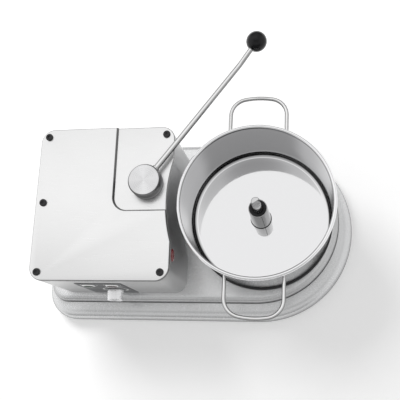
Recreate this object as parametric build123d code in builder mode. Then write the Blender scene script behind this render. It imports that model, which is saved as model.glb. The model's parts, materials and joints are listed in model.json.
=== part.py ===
from build123d import *

import os
from math import asin, atan2, cos, degrees, radians, sin, sqrt

# Table-top bowl cutter. Millimetres, +Z up, front towards -Y. The origin is the middle of the
# whole machine's footprint, on the table. Plan positions are measured from the bowl's axis.

# ---------------------------------------------------------------- driving dimensions
# base casting
base_length = 650.0
base_depth = 387.0
base_right_reach = 185.0  # bowl axis to the right end of the base
base_front_reach = 206.0  # bowl axis to the front of the base
base_corner = 62.0
skirt_bottom = 14.0
skirt_height = 30.0
skirt_fillet = 21.0
plateau_height = 18.0
plateau_depth = 341.0
plateau_corner = 36.0
plateau_fillet = 12.0
left_ledge = 13.0
right_ledge = 27.5
casting_wall = 6.0
rib_thickness = 5.0
rib_height = 9.0
pocket_lift = 5.0  # step of the hollow above the skirt's middle
pocket_margin = 2.0
rib_end_gap = 60.0
rib_insets = (50.0, 250.0, 300.0, 350.0, 540.0)  # base's left end to each rib

# feet and bottom plate
foot_height = 18.0
foot_radius = 19.0
foot_screw_radius = 3.0
foot_screw_depth = 24.0  # screw thread above the foot
foot_boss_radius = 11.0
foot_lip = 5.0  # narrower lower end of the foot
foot_taper = 3.0
foot_side_inset = 56.0
foot_left_inset = 60.0
foot_right_inset = 125.0
plate_thickness = 2.0
plate_clearance = 0.5
slot_pitch = 14.0
slot_length = 70.0
slot_width = 5.0
slot_count = 7

# motor housing
housing_gap = 154.0  # bowl axis to the housing's right side
housing_width = 270.0
housing_depth = 301.0
housing_front_reach = 153.0  # bowl axis to the housing's front
housing_height = 167.0
housing_corner = 26.0
housing_wall = 5.0
housing_flange = 15.0
scallop_half_chord = 80.0
scallop_depth = 11.5
vent_length = 90.0
vent_height = 5.0
vent_pitch = 11.0
vent_count = 7

# top cover
cover_thickness = 9.0
recess_depth = 5.5
recess_width = 113.0
recess_front_reach = 18.0  # bowl axis to the front edge of the recess
recess_corner = 25.0
cover_screw_inset = 16.0
cover_screw_head = 7.2
cover_screw_shank = 2.5
cover_screw_head_height = 3.2
cover_screw_length = 22.0

# locking lever
lever_inset = 49.5  # housing's right side to the lever's axis
lever_setback = 32.5  # lever axis behind the bowl axis
lever_angle = 52.7
lever_length = 343.0
hub_radius = 31.2
hub_top_radius = 29.6
hub_height = 29.0
hub_clearance = 0.5
lever_shaft_radius = 8.0
rod_radius = 5.4
rod_rise = 9.0
grub_radius = 3.0
grub_length = 16.0
rod_bend_length = 53.0
rod_bend_radius = 60.0
ball_radius = 19.75
ball_socket_end = 8.0  # ball's surface to the rod's end
circlip_width = 1.5
magnet_floor = 1.5
switch_gap = 3.0
magnet_reach = 32.0
magnet_radius = 5.0
closing_angle = 62.0

# bowl
bowl_radius = 142.0
bowl_depth = 149.0
bowl_sheet = 1.5
bowl_corner = 10.0
rim_bead = 3.6
tube_top_radius = 18.35
tube_foot_radius = 20.8
tube_height = 86.0
tube_wall = 1.5
collar_height = 7.0
handle_span = 109.0
handle_reach = 214.0
handle_corner = 34.0
handle_bow_radius = 150.0
handle_rod = 3.7
handle_root = 6.0  # length of each leg cut back to the wall
handle_drop = 27.0  # rim to the handles' centre line
handle_turn = -1.3
seat_height = 12.2
seat_outer = 145.5
seat_inner = 129.0
soft_gap = 0.3

# knife spindle and its bearings
spindle_radius = 9.0
shoulder_radius = 12.0
shoulder_height = 4.0
knife_seat_radius = 8.8
knife_seat_lift = 2.5  # bowl's tube to the start of the knife seat
knife_tongue_length = 26.0
knife_tongue_radius = 8.5
knife_tongue_angle = 32.0
spindle_overhang = 51.0  # spindle end above the bowl's tube
bearing_bore = 10.0
bearing_outer = 23.5
bearing_width = 14.0
bearing_spacing = 3.0
running_clearance = 0.04
bush_wall = 2.0
bush_length = 15.0
neck_radius = 15.5
spindle_flange_radius = 50.0
spindle_flange_height = 7.0
spindle_body_radius = 31.0
flange_bolt_circle = 40.0
flange_bolt_radius = 3.0
flange_bolt_head = 5.0
bolt_head_height = 4.0
bolt_tip = 2.0  # bolt's end past the joint
hex_socket_radius = 2.5
hex_socket_depth = 2.0
screw_clearance = 0.3
bearing_lip = 3.0
spindle_foot_radius = 8.0

# belt drive
spindle_pulley_radius = 60.0
motor_pulley_radius = 25.0
pulley_width = 18.0
pulley_flange = 3.0
pulley_lip = 2.0
belt_thickness = 3.0
belt_width = 13.0
pulley_web = 5.0
pulley_rim_wall = 6.0
pulley_hub_wall = 7.0
web_hole_circle = 36.0
web_hole_radius = 11.0
key_size = 4.0
nut_height = 3.0
nut_radius = 12.0

# motor
motor_radius = 56.0
motor_fin = 6.0
motor_fin_count = 20
motor_fin_thickness = 3.0
motor_fin_overlap = 1.0
motor_height = 95.0
motor_flange_radius = 70.0
motor_flange_height = 8.0
motor_shaft_radius = 9.5
motor_bolt_circle = 65.0
motor_bolt_head = 4.6
cowl_height = 22.0
cowl_wall = 1.5
fan_radius = 48.0
fan_height = 11.0
fan_blades = 9
fan_gap = 3.0
fan_plate = 2.0
fan_hub_wall = 6.0
cowl_overlap = 12.0
cowl_hole_radius = 4.5

# front panel
panel_width = 94.0
panel_height = 135.0
panel_thickness = 2.0
panel_pocket = 1.0
panel_middle = 300.0  # panel's middle to the left of the bowl axis
panel_lift = 8.0  # plateau to the panel's lower edge
button_spacing = 47.0
button_rise = 45.5
button_radius = 9.6
button_clearance = 0.3
bezel_radius = 13.4
bezel_height = 2.5
bezel_wall = 1.4
bezel_depth = 24.0
button_stand = 1.6
button_travel = 3.0
button_length = 14.0
knob_radius = 16.4
knob_length = 22.0
knob_offset = (13.0, -12.0)
knob_clearance = 1.0
knob_shaft_radius = 3.0
switch_block_size = 26.0
switch_block_depth = 22.0

# pilot lamp on the right side
lamp_radius = 12.5
lamp_dome = 3.0
lamp_edge = 1.2
lamp_front_reach = 101.0  # bowl axis to the lamp's axis
lamp_drop = 17.0  # housing top to the lamp's axis
lamp_body_radius = 8.0
lamp_body_depth = 32.0

# supply side
gland_radius = 8.0
gland_place = (-345.0, 95.0)
inverter_size = (41.0, 150.0, 100.0)
inverter_gap = 8.0  # inverter to the motor's flange
inverter_lift = 22.0
inverter_setback = 15.0

# ---------------------------------------------------------------- derived heights and axes
skirt_top = skirt_bottom + skirt_height
plateau_top = skirt_top + plateau_height
housing_top = plateau_top + housing_height
cover_top = housing_top + cover_thickness
recess_top = cover_top - recess_depth
seat_top = plateau_top + seat_height
bowl_underside = seat_top + soft_gap
bowl_floor = bowl_underside + bowl_sheet
rim_top = bowl_floor + bowl_depth
tube_top = bowl_floor + tube_height
handle_height = rim_top - handle_drop
spindle_top = tube_top + spindle_overhang
hub_bottom = recess_top + hub_clearance
rod_height = hub_bottom + hub_height / 2 + 2.0
ball_height = rod_height + rod_rise
pulley_bottom = foot_height + plate_thickness + 4.0
bearing_bottom = pulley_bottom + 9.5
bearing_top = bearing_bottom + 2 * bearing_width + bearing_spacing

base_left = base_right_reach - base_length
base_back = base_depth - base_front_reach
foot_places = [
    (x, y)
    for x in (base_left + foot_left_inset, base_right_reach - foot_right_inset)
    for y in (foot_side_inset - base_front_reach, base_back - foot_side_inset)
]
motor_distance = (
    housing_gap + housing_width - housing_wall - inverter_size[0] - inverter_gap
    - motor_flange_radius
)

# the footprint's middle is the origin, so the bowl axis stands off it
back_reach = lever_setback + lever_length * sin(radians(lever_angle)) + ball_radius
front_reach = handle_reach + handle_rod
bowl_x = base_length / 2 - base_right_reach
bowl_y = (front_reach - back_reach) / 2

bowl_axis = Plane(origin=(bowl_x, bowl_y, 0))
lever_place = (-(housing_gap + lever_inset), lever_setback)
lever_axis = Plane(origin=(bowl_x + lever_place[0], bowl_y + lever_place[1], 0))
motor_axis = Plane(origin=(bowl_x - motor_distance, bowl_y, 0))
base_plane = Plane(origin=(bowl_x, bowl_y + base_depth / 2 - base_front_reach, 0))

housing_left = -(housing_gap + housing_width)
housing_right = -housing_gap
housing_front = -housing_front_reach
housing_back = housing_depth - housing_front_reach
scallop_radius = scallop_half_chord**2 / (2 * scallop_depth) + scallop_depth / 2
panel_centre = plateau_top + panel_lift + panel_height / 2

def upright_section(plane):
    """Vertical drawing plane through an upright axis: x is the radius, y the height."""
    return Plane(origin=plane.origin, x_dir=(1, 0, 0), z_dir=(0, -1, 0))


def upright(plane):
    """The upright axis itself."""
    return Axis(plane.origin, (0, 0, 1))


def ring(plane, outer, inner, height, mode=Mode.ADD):
    """Disc or ring raised from a plane."""
    with BuildSketch(plane) as disc:
        Circle(outer)
        if inner:
            Circle(inner, mode=Mode.SUBTRACT)
    extrude(disc.sketch, amount=height, mode=mode)


def pegs(plane, places, radius, height, mode=Mode.ADD):
    """Equal round pegs, or holes with Mode.SUBTRACT."""
    with BuildSketch(plane) as discs:
        with Locations(*places):
            Circle(radius)
    extrude(discs.sketch, amount=height, mode=mode)


def circle_places(radius, count, start=45.0):
    """Points spaced evenly on a circle."""
    step = 360.0 / count
    angles = [radians(start + step * i) for i in range(count)]
    return [(radius * cos(a), radius * sin(a)) for a in angles]


def d_outline(left, right, depth, corner):
    """Plate outline with rounded left corners and a half-round right end."""
    half = depth / 2
    with BuildLine() as outline:
        Line((left + corner, half), (right - half, half))
        CenterArc((right - half, 0), half, 90, -180)
        Line((right - half, -half), (left + corner, -half))
        CenterArc((left + corner, corner - half), corner, 270, -90)
        Line((left, corner - half), (left, half - corner))
        CenterArc((left + corner, half - corner), corner, 180, -90)
    make_face(outline.edges())


def housing_outline(inset=0.0):
    """Housing plan: a rounded rectangle whose right side is scooped towards the bowl."""
    left, right = housing_left + inset, housing_right - inset
    front, back = housing_front + inset, housing_back - inset
    corner = housing_corner - inset
    scoop = scallop_radius + inset
    scoop_x = housing_right - scallop_depth + scallop_radius
    chord = sqrt(scoop**2 - (scoop_x - right) ** 2)
    with BuildLine() as outline:
        Line((left + corner, front), (right - corner, front))
        CenterArc((right - corner, front + corner), corner, 270, 90)
        Line((right, front + corner), (right, -chord))
        ThreePointArc((right, -chord), (scoop_x - scoop, 0), (right, chord))
        Line((right, chord), (right, back - corner))
        CenterArc((right - corner, back - corner), corner, 0, 90)
        Line((right - corner, back), (left + corner, back))
        CenterArc((left + corner, back - corner), corner, 90, 90)
        Line((left, back - corner), (left, front + corner))
        CenterArc((left + corner, front + corner), corner, 180, 90)
    make_face(outline.edges())


# ---------------------------------------------------------------- base
plateau_left = base_left + left_ledge
plateau_right = base_right_reach - right_ledge
pocket_top = plateau_top - casting_wall
pocket_step = skirt_bottom + skirt_height / 2 + pocket_lift
pocket_inset = casting_wall + pocket_margin
through = plateau_top  # cut that is sure to leave the part
plateau_root = skirt_bottom + 4.0

with BuildPart() as base_casting:
    with BuildSketch(base_plane.offset(skirt_bottom)):
        d_outline(base_left, base_right_reach, base_depth, base_corner)
    extrude(amount=skirt_height)
    fillet(base_casting.faces().sort_by(Axis.Z)[-1].edges(), skirt_fillet)
    with BuildSketch(bowl_axis.offset(plateau_root)):
        d_outline(plateau_left, plateau_right, plateau_depth, plateau_corner)
    extrude(amount=plateau_top - plateau_root)
    fillet(base_casting.faces().sort_by(Axis.Z)[-1].edges(), plateau_fillet)
    # hollow underside in two steps
    with BuildSketch(base_plane.offset(skirt_bottom)):
        d_outline(
            base_left + pocket_inset,
            base_right_reach - pocket_inset,
            base_depth - 2 * pocket_inset,
            base_corner - pocket_inset,
        )
    extrude(amount=pocket_step - skirt_bottom, mode=Mode.SUBTRACT)
    with BuildSketch(bowl_axis.offset(pocket_step)):
        d_outline(
            plateau_left + pocket_inset,
            plateau_right - pocket_inset,
            plateau_depth - 2 * pocket_inset,
            plateau_corner - pocket_inset,
        )
    extrude(amount=pocket_top - pocket_step, mode=Mode.SUBTRACT)
    # stiffening ribs across the roof of the hollow
    with BuildSketch(bowl_axis.offset(pocket_top - rib_height)):
        with Locations(*[(base_left + inset, 0) for inset in rib_insets]):
            Rectangle(rib_thickness, plateau_depth - 4 * pocket_inset - rib_end_gap)
    extrude(amount=rib_height)
    # columns for the feet
    pegs(bowl_axis.offset(foot_height + plate_thickness), foot_places, foot_boss_radius,
         pocket_top - foot_height - plate_thickness)
    pegs(bowl_axis.offset(foot_height), foot_places, foot_screw_radius, foot_screw_depth,
         Mode.SUBTRACT)
    # openings for the spindle housing and the motor
    ring(bowl_axis.offset(pocket_step), spindle_body_radius, 0, through, Mode.SUBTRACT)
    ring(motor_axis.offset(pocket_step), motor_pulley_radius + 18.0, 0, through, Mode.SUBTRACT)
    pegs(bowl_axis.offset(pocket_step), circle_places(flange_bolt_circle, 4),
         flange_bolt_radius, through, Mode.SUBTRACT)
    pegs(motor_axis.offset(pocket_step), circle_places(motor_bolt_circle, 4),
         flange_bolt_radius, through, Mode.SUBTRACT)
    housing_bolt_places = [
        (x, y)
        for x in (housing_left + housing_wall + 9.0, housing_right - housing_wall - 17.0)
        for y in (housing_front + 45.0, housing_back - 45.0)
    ]
    pegs(bowl_axis.offset(pocket_step), housing_bolt_places, flange_bolt_radius, through,
         Mode.SUBTRACT)

with BuildPart() as bottom_plate:
    plate_inset = pocket_inset + plate_clearance
    with BuildSketch(base_plane.offset(foot_height)):
        d_outline(
            base_left + plate_inset,
            base_right_reach - plate_inset,
            base_depth - 2 * plate_inset,
            base_corner - plate_inset,
        )
    extrude(amount=plate_thickness)
    pegs(bowl_axis.offset(foot_height), foot_places, foot_screw_radius + screw_clearance,
         plate_thickness, Mode.SUBTRACT)
    # air slots under the motor
    with BuildSketch(motor_axis.offset(foot_height)):
        with GridLocations(slot_pitch, 0.0, slot_count, 1):
            SlotOverall(slot_length, slot_width, rotation=90)
    extrude(amount=plate_thickness, mode=Mode.SUBTRACT)

foot_head_radius = 6.0
foot_head_bottom = 5.0
foot_head_height = 4.0
with BuildPart() as rubber_feet:
    with BuildSketch(bowl_axis):
        with Locations(*foot_places):
            Circle(foot_radius - foot_taper)
    extrude(amount=foot_height)
    with BuildSketch(bowl_axis.offset(foot_lip)):
        with Locations(*foot_places):
            Circle(foot_radius)
    extrude(amount=foot_height - foot_lip)
    chamfer(rubber_feet.faces().sort_by(Axis.Z)[:4].edges(), 1.5)
    pegs(bowl_axis, foot_places, foot_head_radius + 0.5, foot_head_bottom + foot_head_height,
         Mode.SUBTRACT)
    pegs(bowl_axis, foot_places, foot_screw_radius, foot_height, Mode.SUBTRACT)

with BuildPart() as foot_screws:
    pegs(bowl_axis.offset(foot_head_bottom), foot_places, foot_head_radius, foot_head_height)
    pegs(bowl_axis.offset(foot_head_bottom), foot_places, foot_screw_radius,
         foot_height + foot_screw_depth - foot_head_bottom)

# ---------------------------------------------------------------- housing
cover_screw_places = [
    (housing_left + cover_screw_inset, housing_front + cover_screw_inset),
    (housing_left + cover_screw_inset, (housing_front + housing_back) / 2),
    (housing_left + cover_screw_inset, housing_back - cover_screw_inset),
    (housing_right - cover_screw_inset, housing_front + cover_screw_inset),
    (housing_right - cover_screw_inset, housing_back - cover_screw_inset),
]
boss_radius = cover_screw_inset - housing_wall + 0.5
boss_height = 40.0
panel_plane = Plane(
    origin=(bowl_x - panel_middle, bowl_y + housing_front, panel_centre),
    x_dir=(1, 0, 0),
    z_dir=(0, -1, 0),
)
back_plane = Plane(
    origin=(bowl_x, bowl_y + housing_back, 0), x_dir=(-1, 0, 0), z_dir=(0, 1, 0)
)
lamp_plane = Plane(
    origin=(bowl_x + housing_right, bowl_y - lamp_front_reach, housing_top - lamp_drop),
    x_dir=(0, 1, 0),
    z_dir=(1, 0, 0),
)
button_places = [(side * button_spacing / 2, button_rise) for side in (-1, 1)]
barrel_radius = button_radius + button_clearance + bezel_wall
vent_centre = plateau_top + housing_height / 2 + 5.0

with BuildPart() as housing_shell:
    with BuildSketch(bowl_axis.offset(plateau_top)):
        housing_outline()
    extrude(amount=housing_height)
    with BuildSketch(bowl_axis.offset(plateau_top + housing_wall)):
        housing_outline(housing_wall)
    extrude(amount=housing_height, mode=Mode.SUBTRACT)
    with BuildSketch(bowl_axis.offset(plateau_top)):
        housing_outline(housing_wall + housing_flange)
    extrude(amount=housing_wall, mode=Mode.SUBTRACT)
    pegs(bowl_axis.offset(housing_top - boss_height), cover_screw_places, boss_radius,
         boss_height)
    pegs(bowl_axis.offset(housing_top - cover_screw_length), cover_screw_places,
         cover_screw_shank, cover_screw_length, Mode.SUBTRACT)
    pegs(bowl_axis.offset(plateau_top), housing_bolt_places, flange_bolt_radius,
         housing_wall, Mode.SUBTRACT)
    # front: pocket and holes for the panel's fittings
    with BuildSketch(panel_plane):
        RectangleRounded(panel_width, panel_height, 4.0)
    extrude(amount=-panel_pocket, mode=Mode.SUBTRACT)
    pegs(panel_plane, button_places, barrel_radius, -2 * housing_wall, Mode.SUBTRACT)
    pegs(panel_plane, [knob_offset], 2 * knob_shaft_radius, -2 * housing_wall, Mode.SUBTRACT)
    # right side: lamp hole
    ring(lamp_plane, lamp_body_radius, 0, -2 * housing_wall, Mode.SUBTRACT)
    # back: air slots and cable entry
    with BuildSketch(back_plane):
        with Locations((-housing_left - housing_width / 2, vent_centre)):
            with GridLocations(0.0, vent_pitch, 1, vent_count):
                SlotOverall(vent_length, vent_height)
    extrude(amount=-2 * housing_wall, mode=Mode.SUBTRACT)
    pegs(back_plane, [(-gland_place[0], gland_place[1])], gland_radius, -2 * housing_wall,
         Mode.SUBTRACT)

with BuildPart() as housing_bolts:
    head = bowl_axis.offset(plateau_top + housing_wall)
    pegs(head, housing_bolt_places, 5.0, 5.0)
    pegs(head, housing_bolt_places, flange_bolt_radius, -housing_wall - casting_wall - 3.0)

# ---------------------------------------------------------------- top cover
lever_bush_radius = lever_shaft_radius + 3.0
lever_boss_radius = lever_bush_radius + 6.0
lever_boss_height = 24.0
recess_left = housing_right - recess_width

with BuildPart() as top_cover:
    with BuildSketch(bowl_axis.offset(housing_top)):
        housing_outline()
    extrude(amount=cover_thickness)
    chamfer(top_cover.faces().sort_by(Axis.Z)[-1].edges(), 1.2)
    with BuildSketch(bowl_axis.offset(recess_top)) as recess:
        with BuildLine():
            FilletPolyline(
                (recess_left, housing_back + 5.0),
                (recess_left, -recess_front_reach),
                (housing_right + 5.0, -recess_front_reach),
                radius=recess_corner,
            )
            Polyline(
                (housing_right + 5.0, -recess_front_reach),
                (housing_right + 5.0, housing_back + 5.0),
                (recess_left, housing_back + 5.0),
            )
        make_face()
    extrude(amount=recess_depth, mode=Mode.SUBTRACT)
    ring(lever_axis.offset(housing_top), lever_boss_radius, 0, -lever_boss_height)
    ring(lever_axis.offset(housing_top - lever_boss_height), lever_bush_radius, 0, through,
         Mode.SUBTRACT)
    pegs(bowl_axis.offset(housing_top), cover_screw_places, cover_screw_shank + screw_clearance,
         cover_thickness, Mode.SUBTRACT)
    step_edges = (
        top_cover.faces().filter_by(Axis.Z).sort_by(Axis.Z)[-1].edges()
        .filter_by(lambda e: e.center().X > bowl_x + recess_left - 0.5)
        .filter_by(lambda e: e.center().Y > bowl_y - recess_front_reach - 0.5)
    )
    chamfer(step_edges, 3.0)

cover_seats = [cover_top, cover_top, cover_top, cover_top, recess_top]
with BuildPart() as cover_screws:
    for place, seat in zip(cover_screw_places, cover_seats):
        pegs(bowl_axis.offset(seat), [place], cover_screw_head, cover_screw_head_height)
        pegs(bowl_axis.offset(seat), [place], cover_screw_shank,
             housing_top - seat - cover_screw_length + 1.0)
    fillet(cover_screws.edges().filter_by(GeomType.CIRCLE)
           .filter_by(lambda e: abs(e.radius - cover_screw_head) < 0.01)
           .filter_by(lambda e: abs(e.center().Z - cover_top - cover_screw_head_height) < 0.1
                      or abs(e.center().Z - recess_top - cover_screw_head_height) < 0.1), 1.2)
    for place, seat in zip(cover_screw_places, cover_seats):
        with BuildSketch(bowl_axis.offset(seat + cover_screw_head_height)):
            with Locations(place):
                RegularPolygon(2.9, 6)
        extrude(amount=-hex_socket_depth, mode=Mode.SUBTRACT)

# ---------------------------------------------------------------- locking lever
lever_direction = (cos(radians(lever_angle)), sin(radians(lever_angle)), 0)
lever_side = Plane(
    origin=lever_axis.origin,
    x_dir=lever_direction,
    z_dir=(sin(radians(lever_angle)), -cos(radians(lever_angle)), 0),
)
rod_start = 12.0
bend_at = lever_length - rod_bend_length
rod_tail = rod_bend_length - ball_radius + ball_socket_end
shaft_bottom = housing_top - lever_boss_height - 14.0
shaft_top = hub_bottom + 18.0
grub_seat = Plane(
    origin=lever_side.from_local_coords((-lever_shaft_radius, hub_bottom + 14.0, 0)),
    z_dir=(-lever_direction[0], -lever_direction[1], 0),
)

with BuildPart() as lever_hub:
    with BuildSketch(upright_section(lever_axis)):
        with BuildLine():
            Polyline(
                (0, hub_bottom),
                (hub_radius - 1.0, hub_bottom),
                (hub_radius, hub_bottom + 1.0),
                (hub_radius, hub_bottom + 6.0),
                (hub_radius - 1.6, hub_bottom + 7.0),
                (hub_radius - 1.6, hub_bottom + 9.0),
                (hub_radius, hub_bottom + 10.0),
                (hub_radius, hub_bottom + hub_height - 4.0),
                (hub_top_radius, hub_bottom + hub_height - 0.8),
                (hub_top_radius - 0.8, hub_bottom + hub_height),
                (0, hub_bottom + hub_height),
                close=True,
            )
        make_face()
    revolve(axis=upright(lever_axis))
    ring(lever_axis.offset(hub_bottom), lever_shaft_radius, 0, shaft_top - hub_bottom,
         Mode.SUBTRACT)
    rod_socket = Plane(origin=lever_side.from_local_coords((rod_start, rod_height, 0)),
                       z_dir=lever_direction)
    ring(rod_socket, rod_radius, 0, hub_radius, Mode.SUBTRACT)
    ring(grub_seat, grub_radius, 0, hub_radius, Mode.SUBTRACT)

with BuildPart() as lever_grub_screw:
    ring(grub_seat, grub_radius, 0, grub_length)
    with BuildSketch(grub_seat.offset(grub_length)):
        RegularPolygon(1.6, 6)
    extrude(amount=-3.0, mode=Mode.SUBTRACT)

with BuildPart() as lever_rod:
    with BuildLine(lever_side) as rod_path:
        FilletPolyline(
            (rod_start, rod_height),
            (bend_at, rod_height),
            (lever_length - ball_radius + ball_socket_end,
             rod_height + rod_rise * rod_tail / rod_bend_length),
            radius=rod_bend_radius,
        )
    with BuildSketch(Plane(origin=rod_path.line @ 0, z_dir=rod_path.line % 0)):
        Circle(rod_radius)
    sweep()

ball_centre = lever_side.from_local_coords((lever_length, ball_height, 0))
rod_tip = lever_side.from_local_coords((bend_at, rod_height, 0))
with BuildPart(Plane(origin=ball_centre, z_dir=rod_tip - ball_centre)) as lever_ball:
    Sphere(ball_radius)
    tail_slope = sqrt(rod_bend_length**2 + rod_rise**2) / rod_bend_length
    socket_floor = tail_slope * (ball_radius - ball_socket_end)
    with BuildSketch(Plane(origin=ball_centre, z_dir=rod_tip - ball_centre).offset(socket_floor)):
        Circle(rod_radius)
    extrude(amount=ball_radius, mode=Mode.SUBTRACT)

groove_bottom = housing_top - lever_boss_height - 3.0
groove_radius = lever_shaft_radius - 1.0
with BuildPart() as lever_shaft:
    ring(lever_axis.offset(shaft_bottom), lever_shaft_radius, 0, shaft_top - shaft_bottom)
    ring(lever_axis.offset(groove_bottom), lever_shaft_radius, groove_radius, circlip_width,
         Mode.SUBTRACT)

with BuildPart() as lever_circlip:
    with BuildSketch(lever_axis.offset(groove_bottom)):
        Circle(lever_shaft_radius + 3.0)
        Circle(groove_radius, mode=Mode.SUBTRACT)
        with Locations((0, -lever_shaft_radius)):
            Rectangle(6.0, 10.0, mode=Mode.SUBTRACT)
    extrude(amount=circlip_width)

with BuildPart() as lever_bush:
    ring(lever_axis.offset(housing_top - lever_boss_height), lever_bush_radius,
         lever_shaft_radius + running_clearance,
         recess_top - housing_top + lever_boss_height)

arm_thickness = 7.0
arm_bottom = shaft_bottom + 1.0
arm_angle = radians(180.0 + closing_angle)
arm_tip = (magnet_reach * cos(arm_angle), magnet_reach * sin(arm_angle))
with BuildPart() as magnet_arm:
    with BuildSketch(lever_axis.offset(arm_bottom)):
        Circle(lever_shaft_radius + 5.0)
        with Locations(arm_tip):
            Circle(magnet_radius + 2.5)
        make_hull()
        Circle(lever_shaft_radius, mode=Mode.SUBTRACT)
    extrude(amount=arm_thickness)
    with BuildSketch(lever_axis.offset(arm_bottom + magnet_floor)):
        with Locations(arm_tip):
            Circle(magnet_radius)
    extrude(amount=arm_thickness, mode=Mode.SUBTRACT)

with BuildPart() as lever_magnet:
    with BuildSketch(lever_axis.offset(arm_bottom + magnet_floor)):
        with Locations(arm_tip):
            Circle(magnet_radius)
    extrude(amount=arm_thickness - magnet_floor)

with BuildPart() as magnetic_switch:
    switch_bottom = arm_bottom + arm_thickness + switch_gap
    with BuildSketch(lever_axis.offset(switch_bottom)):
        with Locations((-magnet_reach, 0)):
            RectangleRounded(12.0, 24.0, 2.0)
    extrude(amount=housing_top - switch_bottom)

# ---------------------------------------------------------------- bowl
bowl_outer = bowl_radius + bowl_sheet
bead_centre = (bowl_radius + rim_bead, rim_top - rim_bead)
outer_corner = bowl_corner + bowl_sheet


def tube_radius(height):
    """Outside radius of the tapered centre tube at a height."""
    share = (height - bowl_underside) / (tube_top - bowl_underside)
    return tube_foot_radius + (tube_top_radius - tube_foot_radius) * share


with BuildPart() as bowl:
    with BuildSketch(upright_section(bowl_axis)):
        with BuildLine():
            Line((tube_foot_radius, bowl_underside), (bowl_outer - outer_corner, bowl_underside))
            CenterArc((bowl_outer - outer_corner, bowl_underside + outer_corner), outer_corner,
                      270, 90)
            Line((bowl_outer, bowl_underside + outer_corner), (bowl_outer, bead_centre[1]))
            Line((bowl_outer, bead_centre[1]), (bowl_radius, bead_centre[1]))
            Line((bowl_radius, bead_centre[1]), (bowl_radius, bowl_floor + bowl_corner))
            CenterArc((bowl_radius - bowl_corner, bowl_floor + bowl_corner), bowl_corner, 0, -90)
            Line((bowl_radius - bowl_corner, bowl_floor), (tube_foot_radius, bowl_floor))
            Line((tube_foot_radius, bowl_floor), (tube_foot_radius, bowl_underside))
        make_face()
        with Locations(bead_centre):
            Circle(rim_bead)
    revolve(axis=upright(bowl_axis))

with BuildPart() as bowl_tube:
    with BuildSketch(upright_section(bowl_axis)):
        with BuildLine():
            Polyline(
                (tube_foot_radius, bowl_underside),
                (tube_foot_radius, bowl_floor),
                (tube_radius(bowl_floor + 1.0), bowl_floor + 1.0),
                (tube_top_radius, tube_top - 0.5),
                (tube_top_radius - 0.5, tube_top),
                (tube_top_radius - tube_wall, tube_top),
                (tube_top_radius - tube_wall, tube_top - collar_height),
                (tube_foot_radius - tube_wall - 0.6, bowl_underside),
                close=True,
            )
        make_face()
    revolve(axis=upright(bowl_axis))

collar_bore = spindle_radius + soft_gap
with BuildPart() as tube_collar:
    with BuildSketch(upright_section(bowl_axis)):
        with BuildLine():
            Polyline(
                (collar_bore + 1.2, tube_top - collar_height + 1.0),
                (tube_top_radius - tube_wall, tube_top - collar_height + 1.0),
                (tube_top_radius - tube_wall, tube_top),
                (tube_top_radius - tube_wall - 0.8, tube_top + 0.8),
                (collar_bore + 2.0, tube_top + 0.2),
                (collar_bore, tube_top - 1.2),
                (collar_bore, tube_top - 3.0),
                close=True,
            )
        make_face()
    revolve(axis=upright(bowl_axis))


def handle_plane(turn):
    """Level plane at the handles' height, turned about the bowl's axis."""
    angle = radians(handle_turn + turn)
    return Plane(origin=(bowl_x, bowl_y, handle_height), x_dir=(cos(angle), sin(angle), 0),
                 z_dir=(0, 0, 1))


def wire_handle(turn):
    """Bent round-bar loop whose legs end on the bowl's wall."""
    level = handle_plane(turn)
    half = handle_span / 2
    start = sqrt(bowl_outer**2 - half**2) - handle_root
    bow_middle = handle_bow_radius - handle_reach
    corner_side = half - handle_corner
    corner_reach = sqrt((handle_bow_radius - handle_corner) ** 2 - corner_side**2)
    leg_end = bow_middle - corner_reach
    bend = degrees(atan2(corner_reach, corner_side))
    with BuildLine(level) as loop:
        Line((-half, -start), (-half, leg_end))
        CenterArc((-corner_side, leg_end), handle_corner, 180, bend)
        CenterArc((0, bow_middle), handle_bow_radius, 180 + bend, 180 - 2 * bend)
        CenterArc((corner_side, leg_end), handle_corner, -bend, bend)
        Line((half, leg_end), (half, -start))
    with BuildSketch(Plane(origin=loop.line @ 0, z_dir=loop.line % 0)) as section:
        Circle(handle_rod)
    sweep(section.sketch, path=loop.line)
    ring(bowl_axis.offset(bowl_floor), bowl_outer, 0, bowl_depth, Mode.SUBTRACT)


with BuildPart() as front_handle:
    wire_handle(0)

with BuildPart() as back_handle:
    wire_handle(180)

with BuildPart() as bowl_seat_ring:
    with BuildSketch(upright_section(bowl_axis)):
        with BuildLine():
            Polyline(
                (seat_inner, plateau_top),
                (seat_outer, plateau_top),
                (seat_outer, seat_top - 2.0),
                (seat_outer - 2.0, seat_top),
                (seat_inner, seat_top),
                close=True,
            )
        make_face()
    revolve(axis=upright(bowl_axis))

# ---------------------------------------------------------------- spindle
neck_top = tube_top - collar_height
body_bottom = bearing_bottom - 2.5
bush_bottom = neck_top - bush_length
bore_gap = 0.6
neck_bore_radius = spindle_radius + bore_gap
shoulder_bore_radius = shoulder_radius + bore_gap
knife_seat_bottom = tube_top + knife_seat_lift
tongue_bottom = spindle_top - knife_tongue_length
spindle_chamfer = 1.0

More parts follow.
